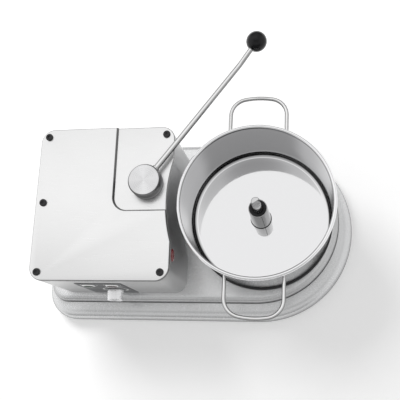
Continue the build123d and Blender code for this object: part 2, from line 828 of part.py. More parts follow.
with BuildPart() as spindle:
    with BuildSketch(upright_section(bowl_axis)):
        with BuildLine():
            Polyline(
                (0, pulley_bottom - nut_height),
                (spindle_foot_radius, pulley_bottom - nut_height),
                (spindle_foot_radius, bearing_bottom),
                (bearing_bore, bearing_bottom),
                (bearing_bore, bearing_top),
                (shoulder_radius, bearing_top),
                (shoulder_radius, bearing_top + shoulder_height),
                (spindle_radius, bearing_top + shoulder_height),
                (spindle_radius, knife_seat_bottom),
                (knife_seat_radius, knife_seat_bottom),
                (knife_seat_radius, tongue_bottom),
                (knife_tongue_radius, tongue_bottom),
                (knife_tongue_radius, spindle_top - spindle_chamfer),
                (knife_tongue_radius - spindle_chamfer, spindle_top),
                (0, spindle_top),
                close=True,
            )
        make_face()
    revolve(axis=upright(bowl_axis))
    # the end is cut to a half-round tongue that carries the knife hub
    tongue = Plane(
        origin=(bowl_x, bowl_y, tongue_bottom),
        x_dir=(cos(radians(knife_tongue_angle)), sin(radians(knife_tongue_angle)), 0),
        z_dir=(0, 0, 1),
    )
    with BuildSketch(tongue):
        with Locations((0, -spindle_radius)):
            Rectangle(3 * spindle_radius, 2 * spindle_radius)
    extrude(amount=knife_tongue_length + 1.0, mode=Mode.SUBTRACT)

with BuildPart() as spindle_housing:
    ring(bowl_axis.offset(body_bottom), spindle_body_radius, 0, plateau_top - body_bottom)
    ring(bowl_axis.offset(plateau_top), spindle_flange_radius, 0, spindle_flange_height)
    chamfer(spindle_housing.faces().sort_by(Axis.Z)[-1].edges(), 1.0)
    ring(bowl_axis.offset(plateau_top), neck_radius, 0, neck_top - plateau_top)
    neck_root = (
        spindle_housing.edges().filter_by(GeomType.CIRCLE)
        .filter_by(lambda e: abs(e.radius - neck_radius) < 0.01)
        .sort_by(Axis.Z)[0]
    )
    fillet(neck_root, 2.5)
    ring(bowl_axis.offset(body_bottom), bearing_outer, 0, bearing_top - body_bottom,
         Mode.SUBTRACT)
    ring(bowl_axis.offset(bearing_top), shoulder_bore_radius, 0, shoulder_height + 1.0,
         Mode.SUBTRACT)
    ring(bowl_axis.offset(bearing_top), neck_bore_radius, 0, neck_top - bearing_top,
         Mode.SUBTRACT)
    ring(bowl_axis.offset(bush_bottom), spindle_radius + bush_wall, 0, bush_length,
         Mode.SUBTRACT)
    pegs(bowl_axis.offset(plateau_top), circle_places(flange_bolt_circle, 4),
         flange_bolt_radius, spindle_flange_height, Mode.SUBTRACT)

with BuildPart() as spindle_housing_bolts:
    flange_face = bowl_axis.offset(plateau_top + spindle_flange_height)
    bolt_places = circle_places(flange_bolt_circle, 4)
    pegs(flange_face, bolt_places, flange_bolt_head, bolt_head_height)
    pegs(flange_face, bolt_places, flange_bolt_radius,
         -spindle_flange_height - casting_wall - bolt_tip)
    with BuildSketch(flange_face.offset(bolt_head_height)):
        with Locations(*bolt_places):
            RegularPolygon(hex_socket_radius, 6)
    extrude(amount=-hex_socket_depth, mode=Mode.SUBTRACT)

with BuildPart() as lower_bearing:
    ring(bowl_axis.offset(bearing_bottom), bearing_outer, bearing_bore + running_clearance,
         bearing_width)

with BuildPart() as bearing_spacer:
    ring(bowl_axis.offset(bearing_bottom + bearing_width), bearing_outer,
         bearing_outer - bearing_lip, bearing_spacing)

with BuildPart() as upper_bearing:
    ring(bowl_axis.offset(bearing_bottom + bearing_width + bearing_spacing), bearing_outer,
         bearing_bore + running_clearance, bearing_width)

with BuildPart() as bearing_circlip:
    with BuildSketch(bowl_axis.offset(bearing_bottom - circlip_width)):
        Circle(bearing_outer)
        Circle(bearing_outer - 3.5, mode=Mode.SUBTRACT)
        with Locations((0, -bearing_outer + 2.0)):
            Rectangle(8.0, 8.0, mode=Mode.SUBTRACT)
    extrude(amount=circlip_width)

with BuildPart() as spindle_bush:
    ring(bowl_axis.offset(bush_bottom), spindle_radius + bush_wall,
         spindle_radius + running_clearance, bush_length)

# ---------------------------------------------------------------- belt drive
web_bottom = pulley_bottom + 1.5


def pulley_rim(plane, radius, inner):
    """Flat belt track between two lips."""
    with BuildSketch(upright_section(plane)) as section:
        with BuildLine() as profile:
            Polyline(
                (inner, pulley_bottom),
                (radius + pulley_lip, pulley_bottom),
                (radius + pulley_lip, pulley_bottom + pulley_flange - 1.0),
                (radius, pulley_bottom + pulley_flange - 0.5),
                (radius, pulley_bottom + pulley_width - pulley_flange + 0.5),
                (radius + pulley_lip, pulley_bottom + pulley_width - pulley_flange + 1.0),
                (radius + pulley_lip, pulley_bottom + pulley_width),
                (inner, pulley_bottom + pulley_width),
                close=True,
            )
        make_face(profile.edges())
    revolve(section.sketch, axis=upright(plane))


with BuildPart() as spindle_pulley:
    pulley_rim(bowl_axis, spindle_pulley_radius, spindle_pulley_radius - pulley_rim_wall)
    ring(bowl_axis.offset(web_bottom), spindle_pulley_radius - pulley_rim_wall + 1.0, 0,
         pulley_web)
    ring(bowl_axis.offset(pulley_bottom), spindle_foot_radius + pulley_hub_wall, 0,
         web_bottom + pulley_web - pulley_bottom)
    ring(bowl_axis.offset(pulley_bottom), spindle_foot_radius, 0, pulley_width, Mode.SUBTRACT)
    pegs(bowl_axis.offset(web_bottom), circle_places(web_hole_circle, 5), web_hole_radius,
         pulley_web, Mode.SUBTRACT)
    with BuildSketch(bowl_axis.offset(pulley_bottom)):
        with Locations((spindle_foot_radius, 0)):
            Rectangle(key_size, key_size)
    extrude(amount=web_bottom + pulley_web - pulley_bottom, mode=Mode.SUBTRACT)

with BuildPart() as spindle_key:
    with BuildSketch(bowl_axis.offset(pulley_bottom)):
        with Locations((spindle_foot_radius + key_size / 4, 0)):
            Rectangle(key_size / 2, key_size)
        Circle(spindle_foot_radius, mode=Mode.SUBTRACT)
    extrude(amount=web_bottom + pulley_web - pulley_bottom)

with BuildPart() as spindle_nut:
    with BuildSketch(bowl_axis.offset(pulley_bottom - nut_height)):
        RegularPolygon(nut_radius, 6)
        Circle(spindle_foot_radius, mode=Mode.SUBTRACT)
    extrude(amount=nut_height)

with BuildPart() as motor_pulley:
    pulley_rim(motor_axis, motor_pulley_radius, motor_shaft_radius)

belt_bottom = pulley_bottom + (pulley_width - belt_width) / 2
with BuildPart() as drive_belt:
    with BuildSketch(bowl_axis.offset(belt_bottom)):
        Circle(spindle_pulley_radius + soft_gap + belt_thickness)
        with Locations((-motor_distance, 0)):
            Circle(motor_pulley_radius + soft_gap + belt_thickness)
        make_hull()
    extrude(amount=belt_width)
    with BuildSketch(bowl_axis.offset(belt_bottom)):
        Circle(spindle_pulley_radius + soft_gap)
        with Locations((-motor_distance, 0)):
            Circle(motor_pulley_radius + soft_gap)
        make_hull()
    extrude(amount=belt_width, mode=Mode.SUBTRACT)

# ---------------------------------------------------------------- motor
motor_base = plateau_top + motor_flange_height
motor_end = motor_base + motor_height
cowl_bottom = motor_end - cowl_overlap
cowl_top = motor_end + cowl_height
fan_bottom = motor_end + fan_gap
motor_shaft_bottom = pulley_bottom - 1.0
shaft_bore = motor_shaft_radius + running_clearance

with BuildPart() as motor_body:
    ring(motor_axis.offset(plateau_top), motor_flange_radius, 0, motor_flange_height)
    ring(motor_axis.offset(motor_base), motor_radius, 0, motor_height)
    with BuildSketch(motor_axis.offset(motor_base)):
        with PolarLocations(motor_radius + motor_fin / 2 - motor_fin_overlap, motor_fin_count):
            Rectangle(motor_fin + 2 * motor_fin_overlap, motor_fin_thickness)
    extrude(amount=motor_height - cowl_overlap - bolt_tip)
    ring(motor_axis.offset(plateau_top), shaft_bore, 0, motor_end, Mode.SUBTRACT)
    pegs(motor_axis.offset(plateau_top), circle_places(motor_bolt_circle, 4),
         flange_bolt_radius, motor_flange_height, Mode.SUBTRACT)

with BuildPart() as motor_bolts:
    bolt_places = circle_places(motor_bolt_circle, 4)
    pegs(motor_axis.offset(motor_base), bolt_places, motor_bolt_head, bolt_head_height)
    pegs(motor_axis.offset(motor_base), bolt_places, flange_bolt_radius,
         -motor_flange_height - casting_wall - bolt_tip)

with BuildPart() as motor_shaft:
    ring(motor_axis.offset(motor_shaft_bottom), motor_shaft_radius, 0,
         fan_bottom + fan_height - motor_shaft_bottom)

with BuildPart() as motor_fan:
    ring(motor_axis.offset(fan_bottom), motor_shaft_radius + fan_hub_wall,
         motor_shaft_radius, fan_height)
    ring(motor_axis.offset(fan_bottom), fan_radius, motor_shaft_radius, fan_plate)
    with BuildSketch(motor_axis.offset(fan_bottom + fan_plate / 2)):
        with PolarLocations(0, fan_blades):
            with Locations(((motor_shaft_radius + fan_radius) / 2 + 1.5, 0)):
                Rectangle(fan_radius - motor_shaft_radius - fan_hub_wall, fan_plate)
    extrude(amount=fan_height - fan_plate / 2)

with BuildPart() as motor_cowl:
    cowl_radius = motor_radius + cowl_wall
    ring(motor_axis.offset(cowl_bottom), cowl_radius, 0, cowl_top - cowl_bottom)
    fillet(motor_cowl.faces().sort_by(Axis.Z)[-1].edges(), 5.0)
    ring(motor_axis.offset(cowl_bottom), motor_radius, 0, cowl_top - cowl_wall - cowl_bottom,
         Mode.SUBTRACT)
    pegs(motor_axis.offset(cowl_top - 2 * cowl_wall),
         circle_places(32.0, 12) + circle_places(18.0, 6), cowl_hole_radius, 4 * cowl_wall,
         Mode.SUBTRACT)

# ---------------------------------------------------------------- control panel
with BuildPart() as control_panel:
    with BuildSketch(panel_plane.offset(-panel_pocket)):
        RectangleRounded(panel_width - 0.4, panel_height - 0.4, 3.8)
    extrude(amount=panel_thickness)
    chamfer(control_panel.faces().sort_by(Axis.Y)[0].edges(), 0.4)
    pegs(panel_plane.offset(-panel_pocket), button_places, barrel_radius, panel_thickness,
         Mode.SUBTRACT)
    pegs(panel_plane.offset(-panel_pocket), [knob_offset], 2 * knob_shaft_radius,
         panel_thickness, Mode.SUBTRACT)

panel_face = panel_plane.offset(panel_thickness - panel_pocket)
with BuildPart() as button_bezels:
    pegs(panel_face, button_places, bezel_radius, bezel_height)
    fillet(button_bezels.faces().sort_by(Axis.Y)[:2].edges(), 1.0)
    pegs(panel_face, button_places, barrel_radius, -bezel_depth)
    pegs(panel_face.offset(bezel_height), button_places, button_radius + button_clearance,
         -bezel_height - bezel_depth, Mode.SUBTRACT)


def push_button(place):
    """Cap that slides in its bezel."""
    pegs(panel_face.offset(bezel_height + button_stand), [place], button_radius, -button_length)


with BuildPart() as start_button:
    push_button(button_places[0])
    fillet(start_button.faces().sort_by(Axis.Y)[0].edges(), 0.8)

with BuildPart() as stop_button:
    push_button(button_places[1])
    fillet(stop_button.faces().sort_by(Axis.Y)[0].edges(), 0.8)

pressed_depth = button_length - bezel_height - button_stand + button_travel
with BuildPart() as switch_blocks:
    with BuildSketch(panel_face.offset(-bezel_depth)):
        with Locations(*button_places):
            RectangleRounded(switch_block_size, switch_block_size, 2.0)
    extrude(amount=-switch_block_depth)
    with BuildSketch(panel_face.offset(-bezel_depth)):
        with Locations(*button_places):
            Circle(3.0)
    extrude(amount=bezel_depth - pressed_depth - soft_gap)

pot_depth = 11.0
with BuildPart() as potentiometer:
    inner_wall = panel_plane.offset(-housing_wall)
    pegs(inner_wall, [knob_offset], 12.0, -pot_depth)
    pegs(inner_wall, [knob_offset], 2 * knob_shaft_radius,
         housing_wall + panel_thickness - panel_pocket)
    pegs(inner_wall.offset(-pot_depth + 3.0), [knob_offset], knob_shaft_radius + 0.05,
         4 * pot_depth, Mode.SUBTRACT)

with BuildPart() as potentiometer_shaft:
    pegs(inner_wall.offset(-pot_depth + 3.0), [knob_offset], knob_shaft_radius,
         housing_wall + pot_depth - 3.0 + panel_thickness - panel_pocket + knob_length - 4.0)

with BuildPart() as speed_knob:
    knob_back = panel_face.offset(knob_clearance)
    with BuildSketch(knob_back):
        with Locations(knob_offset):
            Circle(knob_radius)
    extrude(amount=knob_length, taper=1.5)
    fillet(speed_knob.faces().sort_by(Axis.Y)[0].edges(), 1.2)
    with BuildSketch(knob_back):
        with Locations(knob_offset):
            Circle(knob_radius - 3.0)
            Circle(knob_shaft_radius + 3.5, mode=Mode.SUBTRACT)
    extrude(amount=knob_length - 4.0, mode=Mode.SUBTRACT)
    shaft_reach = knob_length - 4.0 - knob_clearance
    pegs(knob_back, [knob_offset], knob_shaft_radius, shaft_reach, Mode.SUBTRACT)
    # pointer line across the face and down the front flank
    with BuildSketch(knob_back.offset(knob_length)):
        with Locations((knob_offset[0], knob_offset[1] + knob_radius / 2)):
            Rectangle(1.6, knob_radius + 2.0)
    extrude(amount=-0.6, mode=Mode.SUBTRACT)

lens_rise = lamp_dome - lamp_edge
lens_radius = lamp_radius**2 / (2 * lens_rise) + lens_rise / 2
with BuildPart() as pilot_lens:
    with BuildSketch(Plane(origin=lamp_plane.origin, x_dir=(0, 1, 0), z_dir=(0, 0, 1))):
        with BuildLine():
            Polyline((0, -lamp_dome), (0, 0), (lamp_radius, 0), (lamp_radius, -lamp_edge))
            CenterArc((0, lens_radius - lamp_dome), lens_radius, -90,
                      degrees(asin(lamp_radius / lens_radius)))
        make_face()
    revolve(axis=Axis(lamp_plane.origin, (1, 0, 0)))

with BuildPart() as pilot_lamp_body:
    ring(lamp_plane, lamp_body_radius, 0, -lamp_body_depth)

# ---------------------------------------------------------------- supply side
gland_plane = Plane(
    origin=(bowl_x + gland_place[0], bowl_y + housing_back, gland_place[1]),
    x_dir=(-1, 0, 0),
    z_dir=(0, 1, 0),
)
with BuildPart() as cable_gland:
    ring(gland_plane, gland_radius, 0, -housing_wall - 8.0)
    with BuildSketch(gland_plane):
        RegularPolygon(13.0, 6)
    extrude(amount=6.0)
    ring(gland_plane.offset(6.0), 11.0, 0, 12.0)
    fillet(cable_gland.faces().sort_by(Axis.Y)[-1].edges(), 3.5)
    ring(gland_plane.offset(18.0), 4.5, 0, -60.0, Mode.SUBTRACT)

with BuildPart() as gland_locknut:
    with BuildSketch(gland_plane.offset(-housing_wall)):
        RegularPolygon(12.0, 6)
        Circle(gland_radius, mode=Mode.SUBTRACT)
    extrude(amount=-4.0)

with BuildPart() as terminal_block:
    with BuildSketch(gland_plane.offset(-housing_wall)):
        with Locations((0, 30.0)):
            RectangleRounded(44.0, 16.0, 1.5)
    extrude(amount=-14.0)
    with BuildSketch(gland_plane.offset(-housing_wall - 14.0)):
        with Locations((0, 30.0)):
            with GridLocations(10.0, 0.0, 4, 1):
                Circle(2.4)
    extrude(amount=6.0, mode=Mode.SUBTRACT)

with BuildPart() as inverter_box:
    with BuildSketch(bowl_axis.offset(plateau_top + inverter_lift)):
        with Locations((housing_left + housing_wall + inverter_size[0] / 2, -inverter_setback)):
            Rectangle(inverter_size[0], inverter_size[1])
    extrude(amount=inverter_size[2])
    fillet(inverter_box.edges().filter_by(Axis.Z).group_by(Axis.X)[-1], 3.0)

# ---------------------------------------------------------------- write the pieces
pieces = {
    "base_casting": base_casting,
    "bottom_plate": bottom_plate,
    "rubber_feet": rubber_feet,
    "foot_screws": foot_screws,
    "housing_shell": housing_shell,
    "housing_bolts": housing_bolts,
    "top_cover": top_cover,
    "cover_screws": cover_screws,
    "lever_hub": lever_hub,
    "lever_grub_screw": lever_grub_screw,
    "lever_rod": lever_rod,
    "lever_ball": lever_ball,
    "lever_shaft": lever_shaft,
    "lever_circlip": lever_circlip,
    "lever_bush": lever_bush,
    "magnet_arm": magnet_arm,
    "lever_magnet": lever_magnet,
    "magnetic_switch": magnetic_switch,
    "bowl": bowl,
    "bowl_tube": bowl_tube,
    "tube_collar": tube_collar,
    "front_handle": front_handle,
    "back_handle": back_handle,
    "bowl_seat_ring": bowl_seat_ring,
    "spindle": spindle,
    "spindle_housing": spindle_housing,
    "spindle_housing_bolts": spindle_housing_bolts,
    "lower_bearing": lower_bearing,
    "bearing_spacer": bearing_spacer,
    "upper_bearing": upper_bearing,
    "bearing_circlip": bearing_circlip,
    "spindle_bush": spindle_bush,
    "spindle_pulley": spindle_pulley,
    "spindle_key": spindle_key,
    "spindle_nut": spindle_nut,
    "motor_pulley": motor_pulley,
    "drive_belt": drive_belt,
    "motor_body": motor_body,
    "motor_bolts": motor_bolts,
    "motor_shaft": motor_shaft,
    "motor_fan": motor_fan,
    "motor_cowl": motor_cowl,
    "control_panel": control_panel,
    "button_bezels": button_bezels,
    "start_button": start_button,
    "stop_button": stop_button,
    "switch_blocks": switch_blocks,
    "potentiometer": potentiometer,
    "potentiometer_shaft": potentiometer_shaft,
    "speed_knob": speed_knob,
    "pilot_lens": pilot_lens,
    "pilot_lamp_body": pilot_lamp_body,
    "cable_gland": cable_gland,
    "gland_locknut": gland_locknut,
    "terminal_block": terminal_block,
    "inverter_box": inverter_box,
}

os.makedirs("parts", exist_ok=True)
for name, piece in pieces.items():
    piece.part.label = name
    export_step(piece.part, "parts/" + name + ".step")
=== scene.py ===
import json
from math import asin, atan2, cos, degrees, pi, radians, sin, sqrt

import bmesh
import bpy
from mathutils import Matrix, Vector


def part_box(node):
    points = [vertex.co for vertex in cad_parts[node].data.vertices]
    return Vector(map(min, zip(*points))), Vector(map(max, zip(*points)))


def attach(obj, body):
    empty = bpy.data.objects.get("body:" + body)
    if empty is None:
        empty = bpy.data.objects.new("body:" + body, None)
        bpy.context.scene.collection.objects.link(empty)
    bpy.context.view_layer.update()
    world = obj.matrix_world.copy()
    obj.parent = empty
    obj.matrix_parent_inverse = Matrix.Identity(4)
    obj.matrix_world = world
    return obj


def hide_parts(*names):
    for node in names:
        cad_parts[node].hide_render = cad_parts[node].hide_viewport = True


# A table-top bowl cutter. Pieces are drawn in millimetres from the bowl's axis and the table,
# and placed in the frame, which is in metres.

MM = 0.001

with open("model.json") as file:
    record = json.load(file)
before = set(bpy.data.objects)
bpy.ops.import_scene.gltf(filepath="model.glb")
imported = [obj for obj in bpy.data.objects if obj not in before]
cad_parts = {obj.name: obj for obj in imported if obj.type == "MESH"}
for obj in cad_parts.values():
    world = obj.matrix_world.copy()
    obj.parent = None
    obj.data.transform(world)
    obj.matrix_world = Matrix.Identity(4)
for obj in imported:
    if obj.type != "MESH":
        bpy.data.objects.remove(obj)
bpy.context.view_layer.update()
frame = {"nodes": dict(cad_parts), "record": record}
scene = bpy.context.scene


def span(node):
    """Lowest and highest corner of a CAD node, in millimetres from the bowl's axis."""
    low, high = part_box(node)
    return (low - ORIGIN) / MM, (high - ORIGIN) / MM


def middle(node):
    """Middle of a CAD node's box, as [x, y, z] in the same millimetres."""
    return [(low + high) / 2 for low, high in zip(*span(node))]


ring_low, ring_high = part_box("bowl_seat_ring")
ORIGIN = Vector(((ring_low.x + ring_high.x) / 2, (ring_low.y + ring_high.y) / 2, 0))

# ---- sizes
SEAT_LOW, SEAT_HIGH = span("bowl_seat_ring")
PLATEAU_TOP, SEAT_TOP = SEAT_LOW.z, SEAT_HIGH.z
BOWL_LOW, BOWL_HIGH = span("bowl")
BOWL_SHEET = 1.5
BOWL_RADIUS = 142.0
BOWL_CORNER = 10.0
BEAD_RADIUS = (BOWL_HIGH.x - BOWL_RADIUS) / 2  # of the rolled rim
RIM_TOP = BOWL_HIGH.z
FLOOR = BOWL_LOW.z + BOWL_SHEET
TUBE_FOOT_RADIUS, TUBE_TOP = span("bowl_tube")[1].xz
TUBE_TOP_RADIUS = 18.35
TUBE_WALL = 1.5
TUBE_COLLAR_DEPTH = 7.0  # how far the collar's seat goes down the tube
HANDLE_LOW, HANDLE_HIGH = span("front_handle")
HANDLE_HEIGHT = (HANDLE_LOW.z + HANDLE_HIGH.z) / 2
HANDLE_ROD = (HANDLE_HIGH.z - HANDLE_LOW.z) / 2
HANDLE_REACH = 214.0
HANDLE_SPAN = 109.0
HANDLE_CORNER = 34.0
HANDLE_BOW = 150.0  # radius of the outer bar's bow
HANDLE_TURN = radians(-1.3)
SPINDLE_BOTTOM, SPINDLE_TOP = [corner.z for corner in span("spindle")]
SPINDLE_RADIUS = 9.0
KNIFE_SEAT_RADIUS = 8.8
TONGUE_RADIUS = 8.5
TONGUE_LENGTH = 26.0
TONGUE_TURN = radians(32.0)
HUB_LOW, HUB_HIGH = span("lever_hub")
HUB = middle("lever_hub")[:2]
HUB_RADIUS = (HUB_HIGH.x - HUB_LOW.x) / 2
LEVER_TURN = radians(52.7)
LEVER_LENGTH = 343.0
ROD_HEIGHT = 249.5
ROD_START = 28.0  # from the hub's axis
ROD_RADIUS = ROD_HEIGHT - span("lever_rod")[0].z
ROD_TAPER = 0.7  # off the radius by the time it meets the ball
ROD_RISE = 9.0  # of the end after the bend
ROD_BEND = 53.0  # from the bend to the ball's middle
BEND_RADIUS = 60.0
BALL_RADIUS = 19.75
BALL_FLAT = 7.5  # radius of the flat that the rod enters
HOUSING_LOW, HOUSING_HIGH = span("housing_shell")
COVER_TOP = span("top_cover")[1].z
PANEL_LOW, PANEL_HIGH = span("control_panel")


# ---- geometry helpers
def arc(centre, radius, start, sweep, steps):
    """Points on an arc, ends included; angles in degrees."""
    angles = [radians(start + sweep * i / steps) for i in range(steps + 1)]
    return [(centre[0] + radius * cos(a), centre[1] + radius * sin(a)) for a in angles]


def circle(radius, steps=96):
    return arc((0, 0), radius, 0, 360, steps)[:-1]


def round_corners(points, steps=5):
    """Open outline whose inner points carry a corner radius: (x, y, radius)."""
    out = [points[0][:2]]
    for before, here, after in zip(points, points[1:], points[2:]):
        radius = here[2] if len(here) > 2 else 0.0
        corner = Vector(here[:2])
        to_before = Vector(before[:2]) - corner
        to_after = Vector(after[:2]) - corner
        if radius <= 0:
            out.append(here[:2])
            continue
        bend = to_before.angle(to_after)
        reach = radius / abs(sin(bend / 2)) * cos(bend / 2)
        reach = min(reach, to_before.length * 0.49, to_after.length * 0.49)
        first = corner + to_before.normalized() * reach
        last = corner + to_after.normalized() * reach
        for i in range(steps + 1):
            t = i / steps
            point = first * (1 - t) ** 2 + corner * 2 * t * (1 - t) + last * t**2
            out.append((point.x, point.y))
    out.append(points[-1][:2])
    return out


def place(x=0.0, y=0.0, z=0.0, facing="up", turn=0.0):
    """Matrix from a piece's own millimetres to the frame; facing says where its z points."""
    bases = {
        "up": ((1, 0, 0), (0, 1, 0), (0, 0, 1)),
        "front": ((1, 0, 0), (0, 0, 1), (0, -1, 0)),
        "back": ((-1, 0, 0), (0, 0, 1), (0, 1, 0)),
        "right": ((0, 1, 0), (0, 0, 1), (1, 0, 0)),
    }
    basis = Matrix(bases[facing]).transposed().to_4x4()
    spot = Matrix.Translation(ORIGIN + Vector((x, y, z)) * MM)
    return spot @ basis @ Matrix.Rotation(turn, 4, "Z") @ Matrix.Scale(MM, 4)


def loft(bm, rings, matrix, closed=False):
    """Faces between rings of equally many points, each ring a closed loop."""
    loops = [[bm.verts.new(matrix @ Vector(p)) for p in ring] for ring in rings]
    pairs = list(zip(loops, loops[1:]))
    if closed:
        pairs.append((loops[-1], loops[0]))
    count = len(loops[0])
    for low, high in pairs:
        for i in range(count):
            j = (i + 1) % count
            bm.faces.new((low[i], low[j], high[j], high[i]))
    if not closed:
        bm.faces.new(loops[0][::-1])
        bm.faces.new(loops[-1])


def lathe(bm, profile, matrix, steps=128, closed=False):
    """Revolved profile of (radius, height) points about the piece's z."""
    rings = [[(x, y, h) for x, y in circle(max(r, 0.02), steps)] for r, h in profile]
    loft(bm, rings, matrix, closed)


def stack(bm, outline, profile, matrix, closed=False):
    """Outline drawn at each (inset, height) of a profile."""
    rings = [[(x, y, h) for x, y in outline(inset)] for inset, h in profile]
    loft(bm, rings, matrix, closed)


def tube(bm, path, radius, steps=24):
    """Round bar along points in the frame, in metres; radius is a number or one per point."""
    points = [Vector(p) for p in path]
    radii = radius if isinstance(radius, list) else [radius] * len(points)
    rings = []
    side = None
    for i, point in enumerate(points):
        ahead = points[min(i + 1, len(points) - 1)] - points[max(i - 1, 0)]
        ahead.normalize()
        if side is None:
            side = ahead.orthogonal().normalized()
        side = (side - ahead * side.dot(ahead)).normalized()
        other = ahead.cross(side)
        rings.append([
            point + (side * cos(2 * pi * k / steps) + other * sin(2 * pi * k / steps)) * radii[i]
            for k in range(steps)
        ])
    loft(bm, rings, Matrix.Identity(4))


def join_meshes(bm, other, mode):
    """Boolean of two closed bmeshes; the second is used up."""
    made = []
    for source in (bm, other):
        mesh = bpy.data.meshes.new("boolean_source")
        bmesh.ops.recalc_face_normals(source, faces=source.faces)
        source.to_mesh(mesh)
        obj = bpy.data.objects.new("boolean_source", mesh)
        scene.collection.objects.link(obj)
        made.append(obj)
        source.free()
    modifier = made[0].modifiers.new("boolean", "BOOLEAN")
    modifier.operation = mode
    modifier.solver = "EXACT"
    modifier.object = made[1]
    result = bmesh.new()
    graph = bpy.context.evaluated_depsgraph_get()
    result.from_object(made[0], graph)
    for obj in made:
        mesh = obj.data
        bpy.data.objects.remove(obj)
        bpy.data.meshes.remove(mesh)
    return result


def finish_piece(name, bm, body, material, nodes=(), sharp=32):
    """Turns a bmesh into a shaded piece that rides on a body and may stand for CAD nodes."""
    bmesh.ops.recalc_face_normals(bm, faces=bm.faces)
    mesh = bpy.data.meshes.new(name)
    bm.to_mesh(mesh)
    bm.free()
    mesh.polygons.foreach_set("use_smooth", [True] * len(mesh.polygons))
    mesh.set_sharp_from_angle(angle=radians(sharp))
    mesh.materials.append(material)
    obj = bpy.data.objects.new(name, mesh)
    scene.collection.objects.link(obj)
    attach(obj, body)
    if nodes:
        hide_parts(*nodes)


# ---- materials
def grey(tone):
    return (tone, tone, tone, 1)


def feed(owner, node, values):
    """Sets properties and inputs of a node of a material or world; a socket is linked."""
    for key, value in values.items():
        if isinstance(key, str) and key in node.bl_rna.properties:
            setattr(node, key, value)
        elif isinstance(value, bpy.types.NodeSocket):
            owner.node_tree.links.new(value, node.inputs[key])
        else:
            node.inputs[key].default_value = value


def add(owner, kind, values=()):
    """One node with its properties and inputs set."""
    node = owner.node_tree.nodes.new(kind)
    feed(owner, node, dict(values))
    return node


def set_surface(material, values):
    """Sets or links inputs of the material's main shader."""
    feed(material, material.node_tree.nodes["Principled BSDF"], values)


def shader(name, colour, metallic, roughness):
    """New material with the plain values of its main shader."""
    material = bpy.data.materials.new(name)
    material.use_nodes = True
    set_surface(material, {"Base Color": (*colour, 1), "Metallic": metallic,
                           "Roughness": roughness})
    return material


def coordinates(material, stretch=(1, 1, 1), centre=(0, 0, 0)):
    """Position in the frame, in metres, stretched for grain that runs one way."""
    where = add(material, "ShaderNodeTexCoord")
    moved = add(material, "ShaderNodeMapping", {
        "vector_type": "POINT", "Vector": where.outputs["Object"],
        "Location": [-c * s for c, s in zip(centre, stretch)], "Scale": stretch})
    return moved.outputs["Vector"]


def split(owner, vector):
    """Outputs X, Y and Z of a vector."""
    return add(owner, "ShaderNodeSeparateXYZ", {"Vector": vector}).outputs


def distance(material, vector):
    node = add(material, "ShaderNodeVectorMath", {"operation": "LENGTH", "Vector": vector})
    return node.outputs["Value"]


def calculate(owner, operation, first, second):
    """One step of arithmetic; each side is a socket or a number."""
    node = add(owner, "ShaderNodeMath", {"operation": operation, 0: first, 1: second})
    return node.outputs["Value"]


def map_range(owner, value, source, target=(0.0, 1.0), interpolation="LINEAR"):
    """Maps one range of a value to another."""
    node = add(owner, "ShaderNodeMapRange", {
        "interpolation_type": interpolation, "From Min": source[0], "From Max": source[1],
        "To Min": target[0], "To Max": target[1], "Value": value})
    return node.outputs["Result"]


def spread(material, noise_value, low, high):
    """Maps the middle of a noise's range to low..high."""
    return map_range(material, noise_value, (0.3, 0.7), (low, high))


def noise(material, where, scale, detail, dimensions="3D"):
    """Noise at a position, or along one value."""
    node = add(material, "ShaderNodeTexNoise", {
        "noise_dimensions": dimensions, "Scale": scale, "Detail": detail,
        "W" if dimensions == "1D" else "Vector": where})
    return node.outputs["Fac"]


def mix_colours(owner, first, second, factor, blend="MIX"):
    """Mix of two colours, each a socket or a fixed colour."""
    node = add(owner, "ShaderNodeMix", {
        "data_type": "RGBA", "blend_type": blend, "Factor": factor, 6: first, 7: second})
    return node.outputs[2]


def tint(material, noise_value, colour, dark, light):
    """Base colour that drifts with a noise between two shares of a colour."""
    factor = spread(material, noise_value, 0.0, 1.0)
    set_surface(material, {"Base Color": mix_colours(
        material, (*[c * dark for c in colour], 1),
        (*[min(c * light, 1) for c in colour], 1), factor)})


def bump(material, height, strength, distance_m):
    node = add(material, "ShaderNodeBump",
               {"Strength": strength, "Distance": distance_m, "Height": height})
    set_surface(material, {"Normal": node.outputs["Normal"]})


def metal(name, tone, roughness, grain=900.0, stretch=(1, 1, 1), depth=0.03, mottle=0.05,
          warmth=0.0, gloss_spread=0.05, soil=18.0):
    """Bare metal: fine grain in the bump and gloss, slow mottling in tone."""
    colour = (tone * (1 + warmth), tone, tone * (1 - warmth))
    material = shader(name, colour, 1.0, roughness)
    fine = noise(material, coordinates(material, stretch), grain, 3.0)
    slow = noise(material, coordinates(material), soil, 4.0)
    tint(material, slow, colour, 1 - mottle, 1 + mottle)
    set_surface(material, {"Roughness": spread(
        material, fine, roughness - gloss_spread, roughness + gloss_spread)})
    bump(material, fine, depth, 0.0004)
    return material


def ramp(owner, value, stops, blue=1.0):
    """Grey ramp over 0..1; stops are (position, tone)."""
    node = add(owner, "ShaderNodeValToRGB", {"Fac": value})
    elements = node.color_ramp.elements
    for element, (position, tone) in zip(elements, (stops[0], stops[-1])):
        element.position = position
        element.color = (tone, tone, tone * blue, 1)
    for position, tone in stops[1:-1]:
        elements.new(position).color = (tone, tone, tone * blue, 1)
    return node.outputs["Color"]


def tones_along(owner, value, bands, blue=1.0):
    """Grey that changes with a value; bands are (value, tone)."""
    low, high = bands[0][0], bands[-1][0]
    share = map_range(owner, value, (low, high))
    return ramp(owner, share, [((at - low) / (high - low), tone) for at, tone in bands], blue)


def in_metres(bands):
    return [(height * MM, tone) for height, tone in bands]


